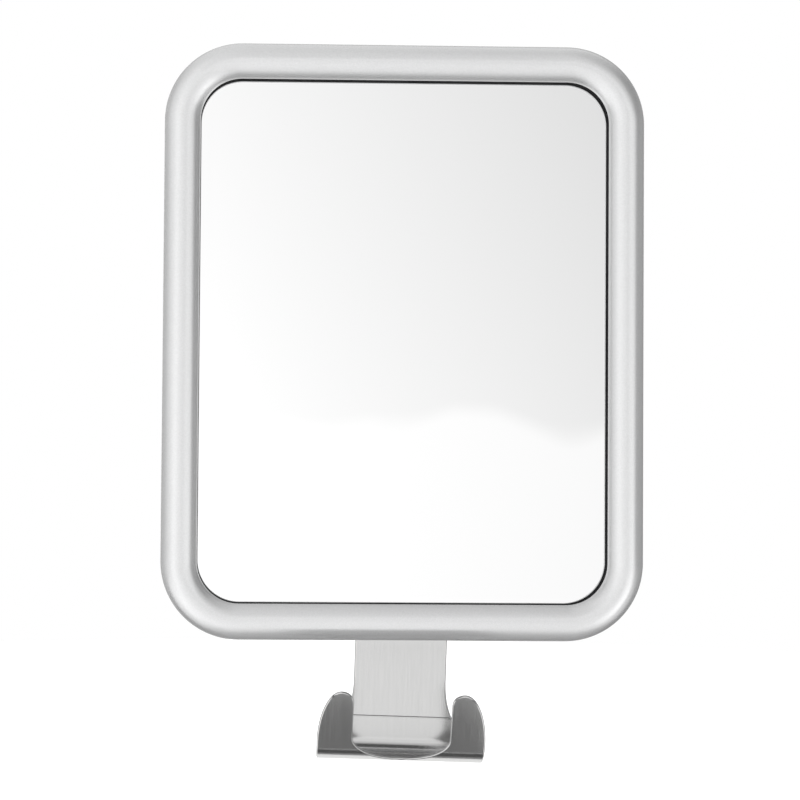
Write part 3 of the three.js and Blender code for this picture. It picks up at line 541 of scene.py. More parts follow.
# %% [markdown]
# The section of the frame is hollow: a roll that rises from the outer edge to the crown and falls to the
# lip, the pocket behind the lip for glass and gasket, and a channel inside. The lip and the gasket lie
# lip_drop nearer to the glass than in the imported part, so that only a thin dark line of gasket shows.

# %% Piece: frame
bezel_rear, crown_depth = depths("frame_bezel")
panel_rear, panel_front = depths("mirror_panel")
gasket_rear, gasket_front = depths("seal_gasket")
bar_width = 12.5
frame_wall = 2.0
crown_inset = 6.4
lip_reach = 3.8
lip_edge = 0.6
lip_undercut = 0.25
lip_drop = 0.5
seat_gap = 0.3
pocket_inset = bar_width - lip_reach
channel_inset = pocket_inset - frame_wall
shoulder_depth = panel_front + 1.5
pocket_floor = bezel_rear + frame_wall
gasket_top = gasket_front - lip_drop
lip_underside = gasket_top + seat_gap
lip_top = lip_underside + lip_edge
roll_outside = quarter_roll([0, shoulder_depth], [crown_inset, crown_depth])
roll_inside = quarter_roll([bar_width, lip_top], [crown_inset, crown_depth])[::-1]
lip = eased([[bar_width, lip_top], [bar_width - lip_undercut, lip_underside], [pocket_inset, lip_underside],
             [pocket_inset, pocket_floor], [channel_inset, pocket_floor]], 0.15)[1:]
channel_crown = [(frame_wall + channel_inset) / 2, crown_depth - frame_wall]
channel = np.concatenate([quarter_roll([channel_inset, shoulder_depth], channel_crown, 6),
                          quarter_roll([frame_wall, shoulder_depth], channel_crown, 6)[-2::-1]])
rear_edge = eased([[frame_wall, pocket_floor], [frame_wall, bezel_rear], [0, bezel_rear],
                   [0, shoulder_depth]], 0.35)[:-1]
section = np.concatenate([roll_outside, roll_inside[1:-1], lip, channel, rear_edge])
bezel = skin("silver_frame", framed(section), loop=True)
# Each point's inset, which the silver finish reads for its painted shade near the glass.
points = np.empty(len(bezel.data.vertices) * 3)
bezel.data.vertices.foreach_get("co", points)
beyond = np.abs(points.reshape(-1, 3)[:, [0, 2]]) / MM - corner_centre
inset = corner_radius - np.linalg.norm(np.maximum(beyond, 0), axis=1) - np.minimum(beyond.max(1), 0)
bezel.data.attributes.new("inset", "FLOAT", "POINT").data.foreach_set("value", inset)
fit(bezel, "mirror_head", "frame_silver", "frame_bezel")

# %% [markdown]
# The gasket runs round under the lip and follows the same outline, so the frame's stations carry it too.
# The glass and the foam behind it are flat and plain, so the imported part's own meshes stay in view and
# only get their finish.

# %% Piece: gasket
gasket_outer = pocket_inset + seat_gap
gasket_inner = bar_width - 0.05
gasket_section = eased([[gasket_outer, gasket_rear], [gasket_outer, gasket_top],
                        [gasket_inner, gasket_top], [gasket_inner, gasket_rear]], 0.4, loop=True)
gasket = skin("black_gasket", framed(gasket_section), loop=True)
fit(gasket, "mirror_head", "gasket_black", "seal_gasket")

# %% CAD pieces that keep their shape
paint("mirror_panel", "mirror_coated")
for node in ("foam_strip_left", "foam_strip_right", "foam_strip_top", "foam_strip_bottom"):
    paint(node, "foam_tape")
print("painted the mirror panel and four foam strips")

# %% [markdown]
# The tray behind the mirror is a flat moulding whose middle rises into a round boss for the ball. Its
# rings change from circles to the frame's outline. Every ring is (1 - m) * circle + m * outline, where m
# is 0 at the boss and 1 at the edge, so one grid covers the whole tray without a seam. Holes and slots
# are easier to cut than to weave into a grid, so plain boxes and rods are taken out with a Boolean, and
# the modifier is applied at once, which leaves an ordinary mesh.

# %% Grids for cutting
def capped(sections):
    """Closes a swept grid of shape (stations, points, 3) with a pole in the middle of each end section."""
    ends = [np.repeat(sections[i].mean(0)[None, None], sections.shape[1], 1) for i in (0, -1)]
    return np.concatenate([ends[0], sections, ends[1]])


def box_grid(width, height, from_depth, to_depth, x=0.0, z=0.0):
    """Grid of a plain box, for cutting: two rectangles of four corners, closed by a pole at each end."""
    side = np.array([[-1, -1], [1, -1], [1, 1], [-1, 1]]) / 2
    ring = [np.stack([x + side[:, 0] * width, np.full(4, -d), z + side[:, 1] * height], -1)
            for d in (from_depth, to_depth)]
    return capped(np.stack(ring))


def rod_grid(radius, from_depth, to_depth, x=0.0, z=0.0):
    """Grid of a plain rod, for cutting."""
    return turned([[0, from_depth], [radius, from_depth], [radius, to_depth], [0, to_depth]], 40, x, z)


def carved(piece, cutters):
    """Takes each cutter grid out of a piece and keeps the finished mesh, with no modifier left."""
    tools = [skin("cutter", grid) for grid in cutters]
    for tool in tools:
        cut = piece.modifiers.new("cut", "BOOLEAN")
        cut.operation, cut.solver, cut.object = "DIFFERENCE", "EXACT", tool
    result = piece.evaluated_get(bpy.context.evaluated_depsgraph_get())
    piece.data = bpy.data.meshes.new_from_object(result)
    piece.modifiers.clear()
    for tool in tools:
        bpy.data.objects.remove(tool)
    settle(piece.data)
    return piece


# %% Piece: back cover
cap_rear, cap_front = depths("socket_cap")
socket_outer = half_size("socket_cap")[0]
tray_rear = panel_rear - 7.3
tray_floor = tray_rear + 2.2
tray_rim = tray_rear + 4.2
edge_radius = 2.6
foot_radius = 23.0
foot_outer = foot_radius + 1.5
foot_rise = 3.2
boss_top = cap_front + seat_gap


def cover_rings():
    """Grid of the tray: rings of (radius, depth, morph, inset), round stations of the outline."""
    centres, outward = outline(20, 16)
    edge = centres + corner_radius * outward
    angle = np.arctan2(edge[:, 1], edge[:, 0])
    circle = np.stack([np.cos(angle), np.sin(angle)], -1)
    boss = eased([[0, boss_top], [socket_outer, boss_top], [socket_outer, tray_rear - foot_rise],
                  [foot_outer, tray_rear]], [0.1, 0.5, 4.0, 0.1], 8)
    inner = np.c_[boss, np.zeros_like(boss)]
    spread = np.r_[0.006, 0.02, np.linspace(0, 1, 9)[1:]][:, None]
    flat = np.array([foot_outer, tray_rear, 0, edge_radius]) + spread * [0, 0, 1, 0]
    bend = np.linspace(0, QUARTER, 9)[1:, None]
    rounding = (np.array([foot_radius, tray_rear + edge_radius, 1, edge_radius])
                - edge_radius * (np.cos(bend) * [0, 1, 0, 0] + np.sin(bend) * [0, 0, 0, 1]))
    rim = np.array([[foot_radius, tray_rim, 1, 0], [foot_radius, tray_rim, 1, frame_wall],
                    [foot_radius, tray_floor, 1, frame_wall], [foot_radius, tray_floor, 0, 0],
                    [0, tray_floor, 0, 0]])
    rings = np.concatenate([inner, flat, rounding, rim])
    radius, depth, morph, inset = (rings[:, i, None] for i in range(4))
    round_ring = radius[..., None] * circle[None]
    square_ring = centres[None] + (corner_radius - inset[..., None]) * outward[None]
    ring = (1 - morph[..., None]) * round_ring + morph[..., None] * square_ring
    return np.stack([ring[..., 0], -np.repeat(depth, len(centres), 1), ring[..., 1]], -1)


def middle_of(node):
    """Middle of a node in x and z, in millimetres."""
    low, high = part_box(node)
    return (low.x + high.x) / 2 / MM, (low.z + high.z) / 2 / MM


cover_screws = [f"cover_screw_{number}" for number in range(1, 7)]
cap_screws = [f"cap_screw_{number}" for number in range(1, 4)]
head_recess = 2.5
recess_floor = depths(cover_screws[0])[0] + 1.7
cover = skin("rear_tray", cover_rings())
carved(cover, [rod_grid(head_recess, tray_rear - 2, recess_floor, *middle_of(node)) for node in cover_screws])
fit(cover, "mirror_head", "shell_grey", "back_cover")

# %% [markdown]
# All the screws are pan heads with a cross recess. A dome over a short shank is turned, and two crossed
# bars are cut out of it. One mesh would do for all, but each screw keeps its place in its own mesh.

# %% Pieces: screws
head_radius = 2.2
head_height = 1.4
head_wall = 0.35
head_edge = 0.08
shank_radius = 1.0
cross_length = 2.7
cross_width = 0.7
cross_depth = 0.95


def screw(name, node):
    """Pan-head screw in the place of a CAD screw, with its head towards the wall."""
    rear, tip = depths(node)
    x, z = middle_of(node)
    shoulder = rear + head_height
    turn = np.linspace(0, QUARTER, 9)
    dome_depth = shoulder - head_wall - (head_height - head_wall) * np.cos(turn)
    dome = np.stack([head_radius * np.sin(turn), dome_depth], 1)
    shank = [[head_radius, shoulder - head_edge], [head_radius - head_edge, shoulder],
             [shank_radius, shoulder], [shank_radius, tip - shank_radius], [0, tip]]
    made = skin(name, turned([*dome, *shank], 40, x, z))
    bars = [box_grid(width, height, rear - 1, rear + cross_depth, x, z)
            for width, height in ((cross_length, cross_width), (cross_width, cross_length))]
    fit(carved(made, bars), "mirror_head", "screw_steel", node)


for old_word, new_word, nodes in (("cover", "tray", cover_screws), ("cap", "socket", cap_screws),
                                  ("hook", "strip", ("hook_screw_upper", "hook_screw_lower"))):
    for node in nodes:
        screw(node.replace(old_word, new_word), node)

# %% [markdown]
# The hook is one sheet: a strip that runs down behind the frame, bends forward into a trough and ends in
# two prongs. The sheet's middle is a curve in depth and height. Each row of the mesh lies at one height
# and spans from g(z), the edge of the gap between the prongs, to w(z), the outer edge. Both halves meet
# on the centre line where g is 0. Solidify gives the sheet its thickness and Bevel breaks its edges.
# A bent sheet is never quite true. A shallow crease crosses it where the bending began, and below it the
# strip leans by the angle "kick". The round bend draws the sides in by "tuck", the part in front is
# shifted sideways with depth by "hook_skew", and the whole strip is turned a little about its upper screw.

# %% Sizes of the hook
sheet = 1.2
edge_round = 0.52
strip_middle = tray_rear - seat_gap - sheet / 2
hook_bottom = -frame_half_height - 41.9
hook_top = -frame_half_height + 42.0
strip_half = 31.9 / 2
strip_corner = 4.0
span_half = 57.6 / 2
base_half = 57.0 / 2
base_z = hook_bottom - 1.0
gap_half = 33.4 / 2
prong_top = hook_bottom + 24.4
tip_x = span_half - 7.8
tip_drop = 3.7
tip_base = prong_top - 6.0
tip_rows = 8
shoulder_z = hook_bottom + 6.9
waist_z = hook_bottom + 9.6
flare_z = hook_bottom + 27.0
crease_z = hook_bottom + 14.0
crease_half = 0.45
crease_reach = 0.6
crease_dip = 0.11
gap_floor = hook_bottom + 1.2
gap_rise = 7.6
bend_radius = 6.6 - sheet / 2
kick = math.radians(1.5)
lean = math.radians(14)
bend_z = hook_bottom + 6.6
bend_top_z = bend_z + bend_radius * math.sin(kick)
bend_depth = strip_middle - (crease_z - bend_top_z) * math.tan(kick) + bend_radius * math.cos(kick)
hook_turn = math.radians(1.6)
hook_skew = 0.022
tuck = 0.9
hook_pivot = middle_of("hook_screw_upper")


# %% Curves of the hook
def arch(share):
    """Height of a round arch of height 1 at a share of its half width from the middle: sqrt(1 - share^2)."""
    return np.sqrt(np.clip(1 - share**2, 0, None))


def outer_edge(z, in_front):
    """Half width of the sheet at a height: strip, quadratic flare and base behind; base and tip in front."""
    t = np.linspace(0, 1, 400)
    flare_height = (1 - t) ** 2 * flare_z + 2 * t * (1 - t) * waist_z + t**2 * shoulder_z
    flare = np.interp(-z, -flare_height, strip_half + (span_half - strip_half) * t**2)
    corner_share = np.clip(z - hook_top + strip_corner, 0, None) / strip_corner
    rounded = strip_half - strip_corner + strip_corner * arch(corner_share)
    foot = base_half + (span_half - base_half) * (z - base_z) / (shoulder_z - base_z)
    rise = np.clip((z - shoulder_z) / (prong_top - shoulder_z), 0, 1)
    tip = tip_x + (span_half - tip_x) * arch(rise)
    behind = np.where(z > flare_z, np.minimum(rounded, strip_half), flare)
    return np.where(z < shoulder_z, foot, np.where(in_front, tip, behind))


def gap_edge(z, in_front):
    """Half width of the gap at a height: an ellipse at its floor, then straight, then the tip's round."""
    low = np.clip((gap_floor + gap_rise - z) / gap_rise, 0, 1)
    floor = gap_half * arch(low)
    high = np.clip((z - prong_top + tip_drop) / tip_drop, 0, 1)
    tip = tip_x - (tip_x - gap_half) * arch(high)
    return np.where(in_front & (z > gap_floor), np.where(high > 0, tip, floor), 0.0)


def slow_start(start, end, count):
    """Heights whose steps are small at the start: start + (end - start) (1 - cos t), t up to 90 degrees."""
    return start + (end - start) * (1 - np.cos(np.linspace(0, QUARTER, count)))


# %% Rows of the hook, from the strip's top to the prongs' tips
strip_rows = np.concatenate([
    slow_start(hook_top, hook_top - strip_corner, 10)[:-1],
    np.linspace(hook_top - strip_corner, flare_z, 8)[:-1],
    np.linspace(flare_z, crease_z + crease_reach, 13),
    crease_z + np.array([crease_half, 0.25, 0.0, -0.25, -crease_half]),
    np.linspace(crease_z - crease_reach, bend_top_z, 22)])
crease_dent = crease_dip * np.clip(1 - np.abs(strip_rows - crease_z) / crease_half, 0, None)
strip_depth = strip_middle - np.clip(crease_z - strip_rows, 0, None) * math.tan(kick) - crease_dent
gap_start = math.asin((bend_z - gap_floor) / bend_radius)
under = np.linspace(math.pi - kick, FULL - gap_start, 34)[1:]
under_z = bend_z + bend_radius * np.sin(under)
under_depth = bend_depth + bend_radius * np.cos(under)
front_rows = np.concatenate([
    slow_start(gap_floor, gap_floor + gap_rise, 18)[1:],
    np.linspace(gap_floor + gap_rise, tip_base, 10)[1:],
    np.linspace(tip_base, prong_top, tip_rows + 1)[1:]])
bend_end = FULL - lean
bend_end_z = bend_z + bend_radius * math.sin(bend_end)
on_bend = front_rows < bend_end_z
bend_share = np.clip((front_rows - bend_z) / bend_radius, -1, 1)
front_depth = np.where(
    on_bend,
    bend_depth + bend_radius * arch(bend_share),
    bend_depth + bend_radius * math.cos(bend_end) + (front_rows - bend_end_z) * math.tan(lean))
row_z = np.concatenate([strip_rows, under_z, front_rows])
row_depth = np.concatenate([strip_depth, under_depth, front_depth])
in_front = np.r_[np.zeros(len(strip_rows) + len(under_z), bool), np.ones(len(front_rows), bool)]
row_outer = outer_edge(row_z, in_front)
row_gap = gap_edge(row_z, in_front)
steps = np.hypot(np.diff(row_z), np.diff(row_depth))
row_length = np.r_[0, np.cumsum(steps)]
flared = np.clip((row_outer - strip_half) / (span_half - strip_half), 0, 1)
bend_rows = [len(strip_rows), len(strip_rows) + len(under_z)]
row_outer -= tuck * flared * np.interp(np.arange(len(row_z)), bend_rows, [1, 0])
print("hook strip, unrolled length in mm", round(float(row_length[-1]), 1))

# %% [markdown]
# Level rows would shrink to slivers at the round tops of the prongs, and a bevel can't round an edge that
# is made of slivers. The last rows are therefore laid out as a patch between four curves, whose grid
# meets the arch nearly at right angles.

# %% Tips of the prongs
def tip_patch(columns):
    """Half widths and heights of a prong's tip as a Coons patch between four curves: (1-v) B(u) + v T(u)
    + (1-u) L(v) + u R(v), less the bilinear blend of its corners. B is level and T follows the tip's arch
    between the points where it has turned by 45 degrees."""
    u = np.linspace(0, 1, columns)[None, :, None]
    v = np.linspace(0, 1, tip_rows + 1)[1:, None, None]
    inner = tip_x - gap_half
    rise = prong_top - shoulder_z
    outer = span_half - tip_x
    left_x = tip_x - inner**2 / math.hypot(inner, tip_drop)
    right_x = tip_x + outer**2 / math.hypot(outer, rise)
    arch_x = left_x + (right_x - left_x) * u[..., 0]
    over_gap = prong_top - tip_drop + tip_drop * arch((tip_x - arch_x) / inner)
    over_side = shoulder_z + rise * arch((arch_x - tip_x) / outer)
    top = np.stack([arch_x, np.where(arch_x < tip_x, over_gap, over_side)], -1)
    left_z = tip_base + (top[:, :1, 1:] - tip_base) * v
    right_z = tip_base + (top[:, -1:, 1:] - tip_base) * v
    left = np.concatenate([gap_edge(left_z, True), left_z], -1)
    right = np.concatenate([outer_edge(right_z, True), right_z], -1)
    low = np.array([[gap_half, tip_base], [outer_edge(tip_base, True), tip_base]])
    bottom = low[0] + (low[1] - low[0]) * u
    corners = (1 - v) * bottom + v * ((1 - u) * top[:, :1] + u * top[:, -1:])
    return (1 - v) * bottom + v * top + (1 - u) * left + u * right - corners


# %% Piece: hook
def hook_sheet(columns=12):
    """Both halves of the sheet: point (side * (g + u (w - g)), -depth(s), z(s)) for u from 0 to 1, then
    turned about the upper screw. The UV map holds the flat strip in metres, u across it and v along it."""
    u = np.linspace(0, 1, columns)
    x = row_gap[:, None] + (row_outer - row_gap)[:, None] * u
    z, depth, length = (np.repeat(values[:, None], columns, 1) for values in (row_z, row_depth, row_length))
    x[-tip_rows:], z[-tip_rows:] = np.moveaxis(tip_patch(columns), -1, 0)
    depth[-tip_rows:] = depth[-tip_rows - 1, 0] + (z[-tip_rows:] - tip_base) * math.tan(lean)
    length[-tip_rows:] = length[-tip_rows - 1, 0] + (z[-tip_rows:] - tip_base) / math.cos(lean)
    rows = len(row_z)
    sides = []
    for side in (1, -1):
        dx = side * x
        dz = z - hook_pivot[1]
        turned_x = dx * math.cos(hook_turn) + dz * math.sin(hook_turn) + hook_pivot[0]
        turned_x = turned_x + hook_skew * (depth - strip_middle)
        turned_z = -dx * math.sin(hook_turn) + dz * math.cos(hook_turn) + hook_pivot[1]
        sides.append(np.stack([turned_x, -depth, turned_z], -1).reshape(-1, 3))
    row, column = np.meshgrid(np.arange(rows - 1), np.arange(columns - 1), indexing="ij")
    base = (row * columns + column).ravel()
    right = np.stack([base, base + 1, base + columns + 1, base + columns], -1)
    left = right[:, ::-1] + rows * columns
    piece = shape("razor_hook", (np.concatenate(sides) * MM).tolist(), np.concatenate([right, left]).tolist())
    mesh = piece.data
    flat = np.concatenate([np.stack([side * x, length], -1).reshape(-1, 2) for side in (1, -1)]) * MM
    corner = np.zeros(len(mesh.loops), int)
    mesh.loops.foreach_get("vertex_index", corner)
    layer = mesh.uv_layers.new(name="flat_strip")
    layer.data.foreach_set("uv", flat[corner].ravel())
    weld(mesh, 1e-6, closed=False)
    return piece


hook = hook_sheet()
wall = hook.modifiers.new("sheet", "SOLIDIFY")
wall.thickness, wall.offset, wall.use_even_offset = sheet * MM, 0.0, True
round_edge = hook.modifiers.new("edges", "BEVEL")
round_edge.width, round_edge.segments, round_edge.limit_method = edge_round * MM, 4, "ANGLE"
round_edge.angle_limit = math.radians(50)
round_edge.harden_normals = True
# The clamp would let the shortest edge, at the tips, thin the rounding everywhere.
round_edge.use_clamp_overlap = False
hook.data.shade_smooth()
fit(hook, "mirror_head", "hook_steel", "hook_bracket")

# %% [markdown]
# Behind the mirror a steel ball sits between a slit nylon liner, a cap with three screws and the boss of
# the tray. These are lathe and mould shapes, so each is a profile turned about the wall's normal.

# %% Arcs of the ball and its socket
def ball_arc(radius, centre_depth, from_degrees, to_degrees, steps=24):
    """Arc of a sphere as [radius, depth] pairs: (R sin a, depth + R cos a), with a from the front pole."""
    angle = np.radians(np.linspace(from_degrees, to_degrees, steps + 1))
    return np.stack([radius * np.abs(np.sin(angle)), centre_depth + radius * np.cos(angle)], 1)


# %% Piece: socket cap
flange_rear = depths("ball_stud")[0]
ball_radius = 9.0
ball_depth = depths("ball_stud")[1] - ball_radius
liner_wall = 1.0
liner_inner = ball_radius + seat_gap
liner_outer = liner_inner + liner_wall
socket_radius = liner_outer + seat_gap
mouth_arc = ball_arc(socket_radius, ball_depth, 90, 130, 12)
mouth, mouth_depth = mouth_arc[-1]
mouth_flare = 1.4
shoulder = 1.65
side_start = 3.95
cap_profile = np.concatenate([
    mouth_arc,
    eased([[mouth, mouth_depth], [mouth + mouth_flare, cap_rear], [(socket_outer + mouth) / 2, cap_rear],
           [socket_outer - shoulder, cap_rear + shoulder], [socket_outer, cap_rear + side_start],
           [socket_outer, ball_depth], [socket_radius, ball_depth]], 0.5)[1:-1]])
cap = skin("ball_socket_cap", turned(cap_profile, 120), loop=True)
cap_recess_floor = ball_depth - 4.6
carved(cap, [rod_grid(head_recess, cap_rear - 2, cap_recess_floor, *middle_of(node)) for node in cap_screws])
fit(cap, "mirror_head", "shell_grey", "socket_cap")

# %% Piece: socket liner
liner_profile = np.concatenate([ball_arc(liner_outer, ball_depth, 26, 129),
                                ball_arc(liner_inner, ball_depth, 129, 26)])
liner = skin("nylon_liner", turned(liner_profile, 96), loop=True)
slit_length = 12.0
slit_width = 1.6


def slit_grid(angle):
    """Grid of a slit's cutter, a box that points outwards at an angle round the wall's normal."""
    grid = box_grid(slit_length, slit_width, ball_depth - slit_length, ball_depth, slit_length / 2, 0.0)
    x, z = grid[..., 0].copy(), grid[..., 2].copy()
    grid[..., 0] = x * math.cos(angle) - z * math.sin(angle)
    grid[..., 2] = x * math.sin(angle) + z * math.cos(angle)
    return grid


carved(liner, [slit_grid((number + 0.5) * QUARTER) for number in range(4)])
fit(liner, "ball_liner", "liner_nylon", "socket_liner")

# %% Piece: ball stud
neck_radius = 3.6
shaft_radius = 4.6
flange_radius = 10.0
flange_front = flange_rear + 2.4
neck_angle = 180 - math.degrees(math.asin(neck_radius / ball_radius))
ball = ball_arc(ball_radius, ball_depth, neck_angle, 0, 40)
neck_depth = ball[0, 1] - 2.4
stud_profile = np.concatenate([
    eased([[0, flange_rear], [flange_radius, flange_rear], [flange_radius, flange_front],
           [shaft_radius, flange_front], [shaft_radius, neck_depth - 1.0], [neck_radius, neck_depth],
           ball[0]], [0.1, 0.35, 0.35, 0.5, 0.4, 0.6, 0.1])[:-1],
    ball])
stud = skin("ball_stud_turned", turned(stud_profile, 96))
fit(stud, "swivel_arm", "stud_steel", "ball_stud")

# %% [markdown]
# The swivel and the lock are gripped by hand, so their rims have shallow flutes. A flute is a cosine in
# the angle, and it fades to nothing on the flat faces and in the bore through a share for each point of
# the profile.

# %% Piece: swivel cap
swivel_rear, swivel_front = depths("swivel_cap")
swivel_outer = half_size("swivel_cap")[0]
swivel_bore = 13.3
swivel_roof = swivel_front - 2.4
shaft_hole = 4.9
swivel_profile = eased([[swivel_bore, swivel_rear], [swivel_outer, swivel_rear], [swivel_outer, swivel_front],
                        [shaft_hole, swivel_front], [shaft_hole, swivel_roof], [swivel_bore, swivel_roof]],
                       [0.3, 0.7, 0.9, 0.3, 0.3, 0.3], 5, loop=True)
rim_share = np.clip((swivel_profile[:, 0] - 14.0) / 1.5, 0, 1)
swivel = skin("swivel_collar", turned(swivel_profile, 144, flutes=12, flute_depth=0.7, flute_share=rim_share),
              loop=True)
fit(swivel, "mount_base", "shell_grey", "swivel_cap")

# %% Piece: lock ring
ring_rear, ring_front = depths("lock_ring")
ring_outer = 23.0
neck_outer = 13.0
ring_bore = neck_outer + seat_gap
ring_profile = eased([[ring_bore, ring_rear], [ring_outer, ring_rear], [ring_outer, ring_front],
                      [ring_bore, ring_front]], [0.3, 1.2, 1.4, 0.4], 6, loop=True)
rim_share = np.clip((ring_profile[:, 0] - 19.0) / 3.0, 0, 1)
lock = skin("twist_ring", turned(ring_profile, 168, flutes=14, flute_depth=1.5, flute_share=rim_share),
            loop=True)
pin_depth = sum(depths("cross_pin")) / 2
pin_room = 1.8
pocket_reach = 4.3
lock_travel = 3.0


def pocket_grid(start_degrees):
    """Grid of a helical pocket: its floor climbs by the travel over the quarter turn of the lock."""
    turn = np.r_[-12, np.linspace(0, 90, 25), 102]
    angle = np.radians(start_degrees + turn)
    floor = pin_depth - pin_room + lock_travel * np.clip(turn, 0, 90) / 90
    top = np.full(len(turn), ring_front + 1)
    depth = np.stack([floor, floor, top, top], 1)
    radius = neck_outer + np.array([-1, pocket_reach, pocket_reach, -1])
    return capped(np.stack([radius * np.cos(angle)[:, None], -depth, radius * np.sin(angle)[:, None]], -1))


carved(lock, [pocket_grid(0), pocket_grid(180)])
fit(lock, "twist_lock", "frame_silver", "lock_ring")

# %% [markdown]
# The housing is a dish that presses on the cup's rim, with a neck for the lock. The neck has a groove for
# the clip and a slot for the pin. Again one closed profile is turned, and the slot is cut through it.

# %% Piece: mount housing
dish_rear, neck_front = depths("mount_housing")
dish_radius = half_size("mount_housing")[0]
deck = ring_rear - seat_gap
dish_wall = 2.2
dish_inner = dish_radius - dish_wall
rim_front = dish_rear + 2.4
clip_rear, clip_front = depths("ring_clip")
groove = neck_outer - 1
groove_rear, groove_front = clip_rear - seat_gap, clip_front + seat_gap
washer_rear = depths("swivel_washer")[0]
washer_seat = washer_rear - seat_gap
washer_room = 10.3
stem_bore = 3.3
housing_profile = eased([
    [stem_bore, deck - dish_wall], [neck_outer, deck - dish_wall], [dish_inner - 5, deck - 1.5 * dish_wall],
    [dish_inner, rim_front], [dish_inner, dish_rear], [dish_radius, dish_rear], [dish_radius, rim_front],
    [dish_radius - 2.5, deck - 5], [ring_outer + 2.5, deck - dish_wall / 2], [ring_outer, deck],
    [neck_outer, deck], [neck_outer, groove_rear], [groove, groove_rear], [groove, groove_front],
    [neck_outer, groove_front], [neck_outer, neck_front], [washer_room, neck_front],
    [washer_room, washer_seat], [stem_bore, washer_seat]],
    [0.3, 2, 2, 1.5, 0.3, 0.6, 2.5, 4.5, 3.0, 0.8, 0.3, 0.1, 0.1, 0.1, 0.1, 0.5, 0.3, 0.2, 0.2], 6, loop=True)
housing = skin("wall_housing", turned(housing_profile, 144), loop=True)
slot_length = 46
slot_ends = pin_depth - pin_room, pin_depth + lock_travel + pin_room
carved(housing, [box_grid(slot_length, 2 * pin_room, *slot_ends)])
fit(housing, "mount_base", "shell_grey", "mount_housing")

# %% [markdown]
# The retaining clip is an open ring that snaps into the neck's groove. Its section is a rounded rectangle
# carried along most of a circle, with both ends closed by a pole. The washer lies in the neck's mouth.

# %% Piece: ring clip
clip_outer = 16.5
clip_inner = neck_outer - 0.7
clip_section = eased([[clip_inner, clip_rear], [clip_outer, clip_rear], [clip_outer, clip_front],
                      [clip_inner, clip_front]], 0.25, 3, loop=True)
half_opening = 35
clip_angle = np.radians(np.linspace(-90 + half_opening, 270 - half_opening, 73))
clip_radius = clip_section[None, :, 0]
clip_grid = np.stack([clip_radius * np.cos(clip_angle)[:, None],
                      -np.repeat(clip_section[None, :, 1], len(clip_angle), 0),
                      clip_radius * np.sin(clip_angle)[:, None]], -1)
clip = skin("retaining_clip", capped(clip_grid))
fit(clip, "mount_base", "screw_steel", "ring_clip")

# %% Piece: swivel washer
washer_front = depths("swivel_washer")[1]
washer_inner, washer_outer = 5, 10
washer_profile = eased([[washer_inner, washer_rear], [washer_outer, washer_rear],
                        [washer_outer, washer_front], [washer_inner, washer_front]], 0.15, 3, loop=True)
washer = skin("nylon_washer", turned(washer_profile, 96), loop=True)
fit(washer, "mount_base", "liner_nylon", "swivel_washer")

# %% [markdown]
# The suction cup is a rubber disc with a hub, and a tab at the bottom for peeling it off. The tab is part
# of the rim: the rim's radius R(a) is the larger of the disc's radius and the reach of the tab's rounded
# end. A soft maximum, s ln(exp(disc / s) + exp(tab / s)), gives their corner a fillet. The cup's face is
# dished a little, and only the outer ring touches the wall.

# %% Piece: suction cup
cup_radius = half_size("suction_cup")[0]
cup_front = depths("suction_cup")[1]
tab_half = 6.0
tab_reach = 43.0
tab_fillet = 0.8


def cup_grid():
    """Grid of the cup: profile rows (share of the rim, radius, depth) round angles that crowd at the tab."""
    a = np.radians(np.concatenate([np.linspace(-20, 20, 81)[:-1], np.linspace(20, 340, 121)[:-1]]))
    end = tab_reach - tab_half
    sine = np.abs(np.sin(a))
    round_end = end * np.cos(a) + tab_half * arch(end * sine / tab_half)
    side = tab_half / np.maximum(sine, 1e-6)
    tab = np.where(end * sine < tab_half, round_end, np.minimum(side, tab_reach))
    rim = np.logaddexp(cup_radius / tab_fillet, tab / tab_fillet) * tab_fillet
    rim = np.minimum(np.where(np.cos(a) > 0, rim, cup_radius), tab_reach)
    rows = np.array([
        [0, 0, 1.0], [0, 8, 0.95], [0, 16, 0.8], [0, 24, 0.5], [0, 29, 0.25], [0, 30, 0.3], [0, 31, 0.1],
        [0, 33, 0.0], [0, 35, 0.0], [1, -0.45, 0.0], [1, -0.12, 0.15], [1, 0, 0.5], [1, -0.12, 0.85],
        [1, -0.45, 1.0], [0, 35.2, 1.02], [0, 34.4, 1.3], [0, 33.6, 1.62], [0, 32.6, 1.78], [0, 31, 1.82],
        [0, 30, 1.9], [0, 24, 2.3], [0, 18, 2.9], [0, 14.5, 3.45], [0, 12.6, 3.95], [0, 11.2, 4.9],
        [0, 10.2, 6.0], [0, 9.6, 7.4], [0, 9.5, 9.9], [0, 9.3, 10.6], [0, 8.7, 10.95], [0, 8.2, cup_front],
        [0, 3.6, cup_front], [0, 3.35, 10.8], [0, 3.3, 6.2], [0, 0, 6.2]])
    radius = rows[:, :1] * rim[None] + rows[:, 1:2]
    depth = np.repeat(rows[:, 2:], len(a), 1)
    return np.stack([radius * np.sin(a), -depth, -radius * np.cos(a)], -1)


cup = skin("suction_cup_rubber", cup_grid(), sharp_degrees=50)
fit(cup, "wall_cup", "cup_rubber", "suction_cup")

# %% [markdown]
# The stem is turned like the rest, and the pin crosses it from left to right. A grid that is turned about
# the wall's normal lies down along x when its x and y change places.

# %% Pieces: stem and cross pin
stem_rear, stem_front = depths("cup_stem")
stem_flange_front = stem_rear + 2.2
stem_radius = 3
stem_flange = 6
pin_half = half_size("cross_pin")[0]
pin_radius = 1.5


def laid_across(profile, steps):
    """Grid of a profile of [radius, x] pairs turned about a line along x at the pin's depth."""
    grid = turned(profile, steps)
    return np.stack([grid[..., 1], grid[..., 0] - pin_depth, grid[..., 2]], -1)


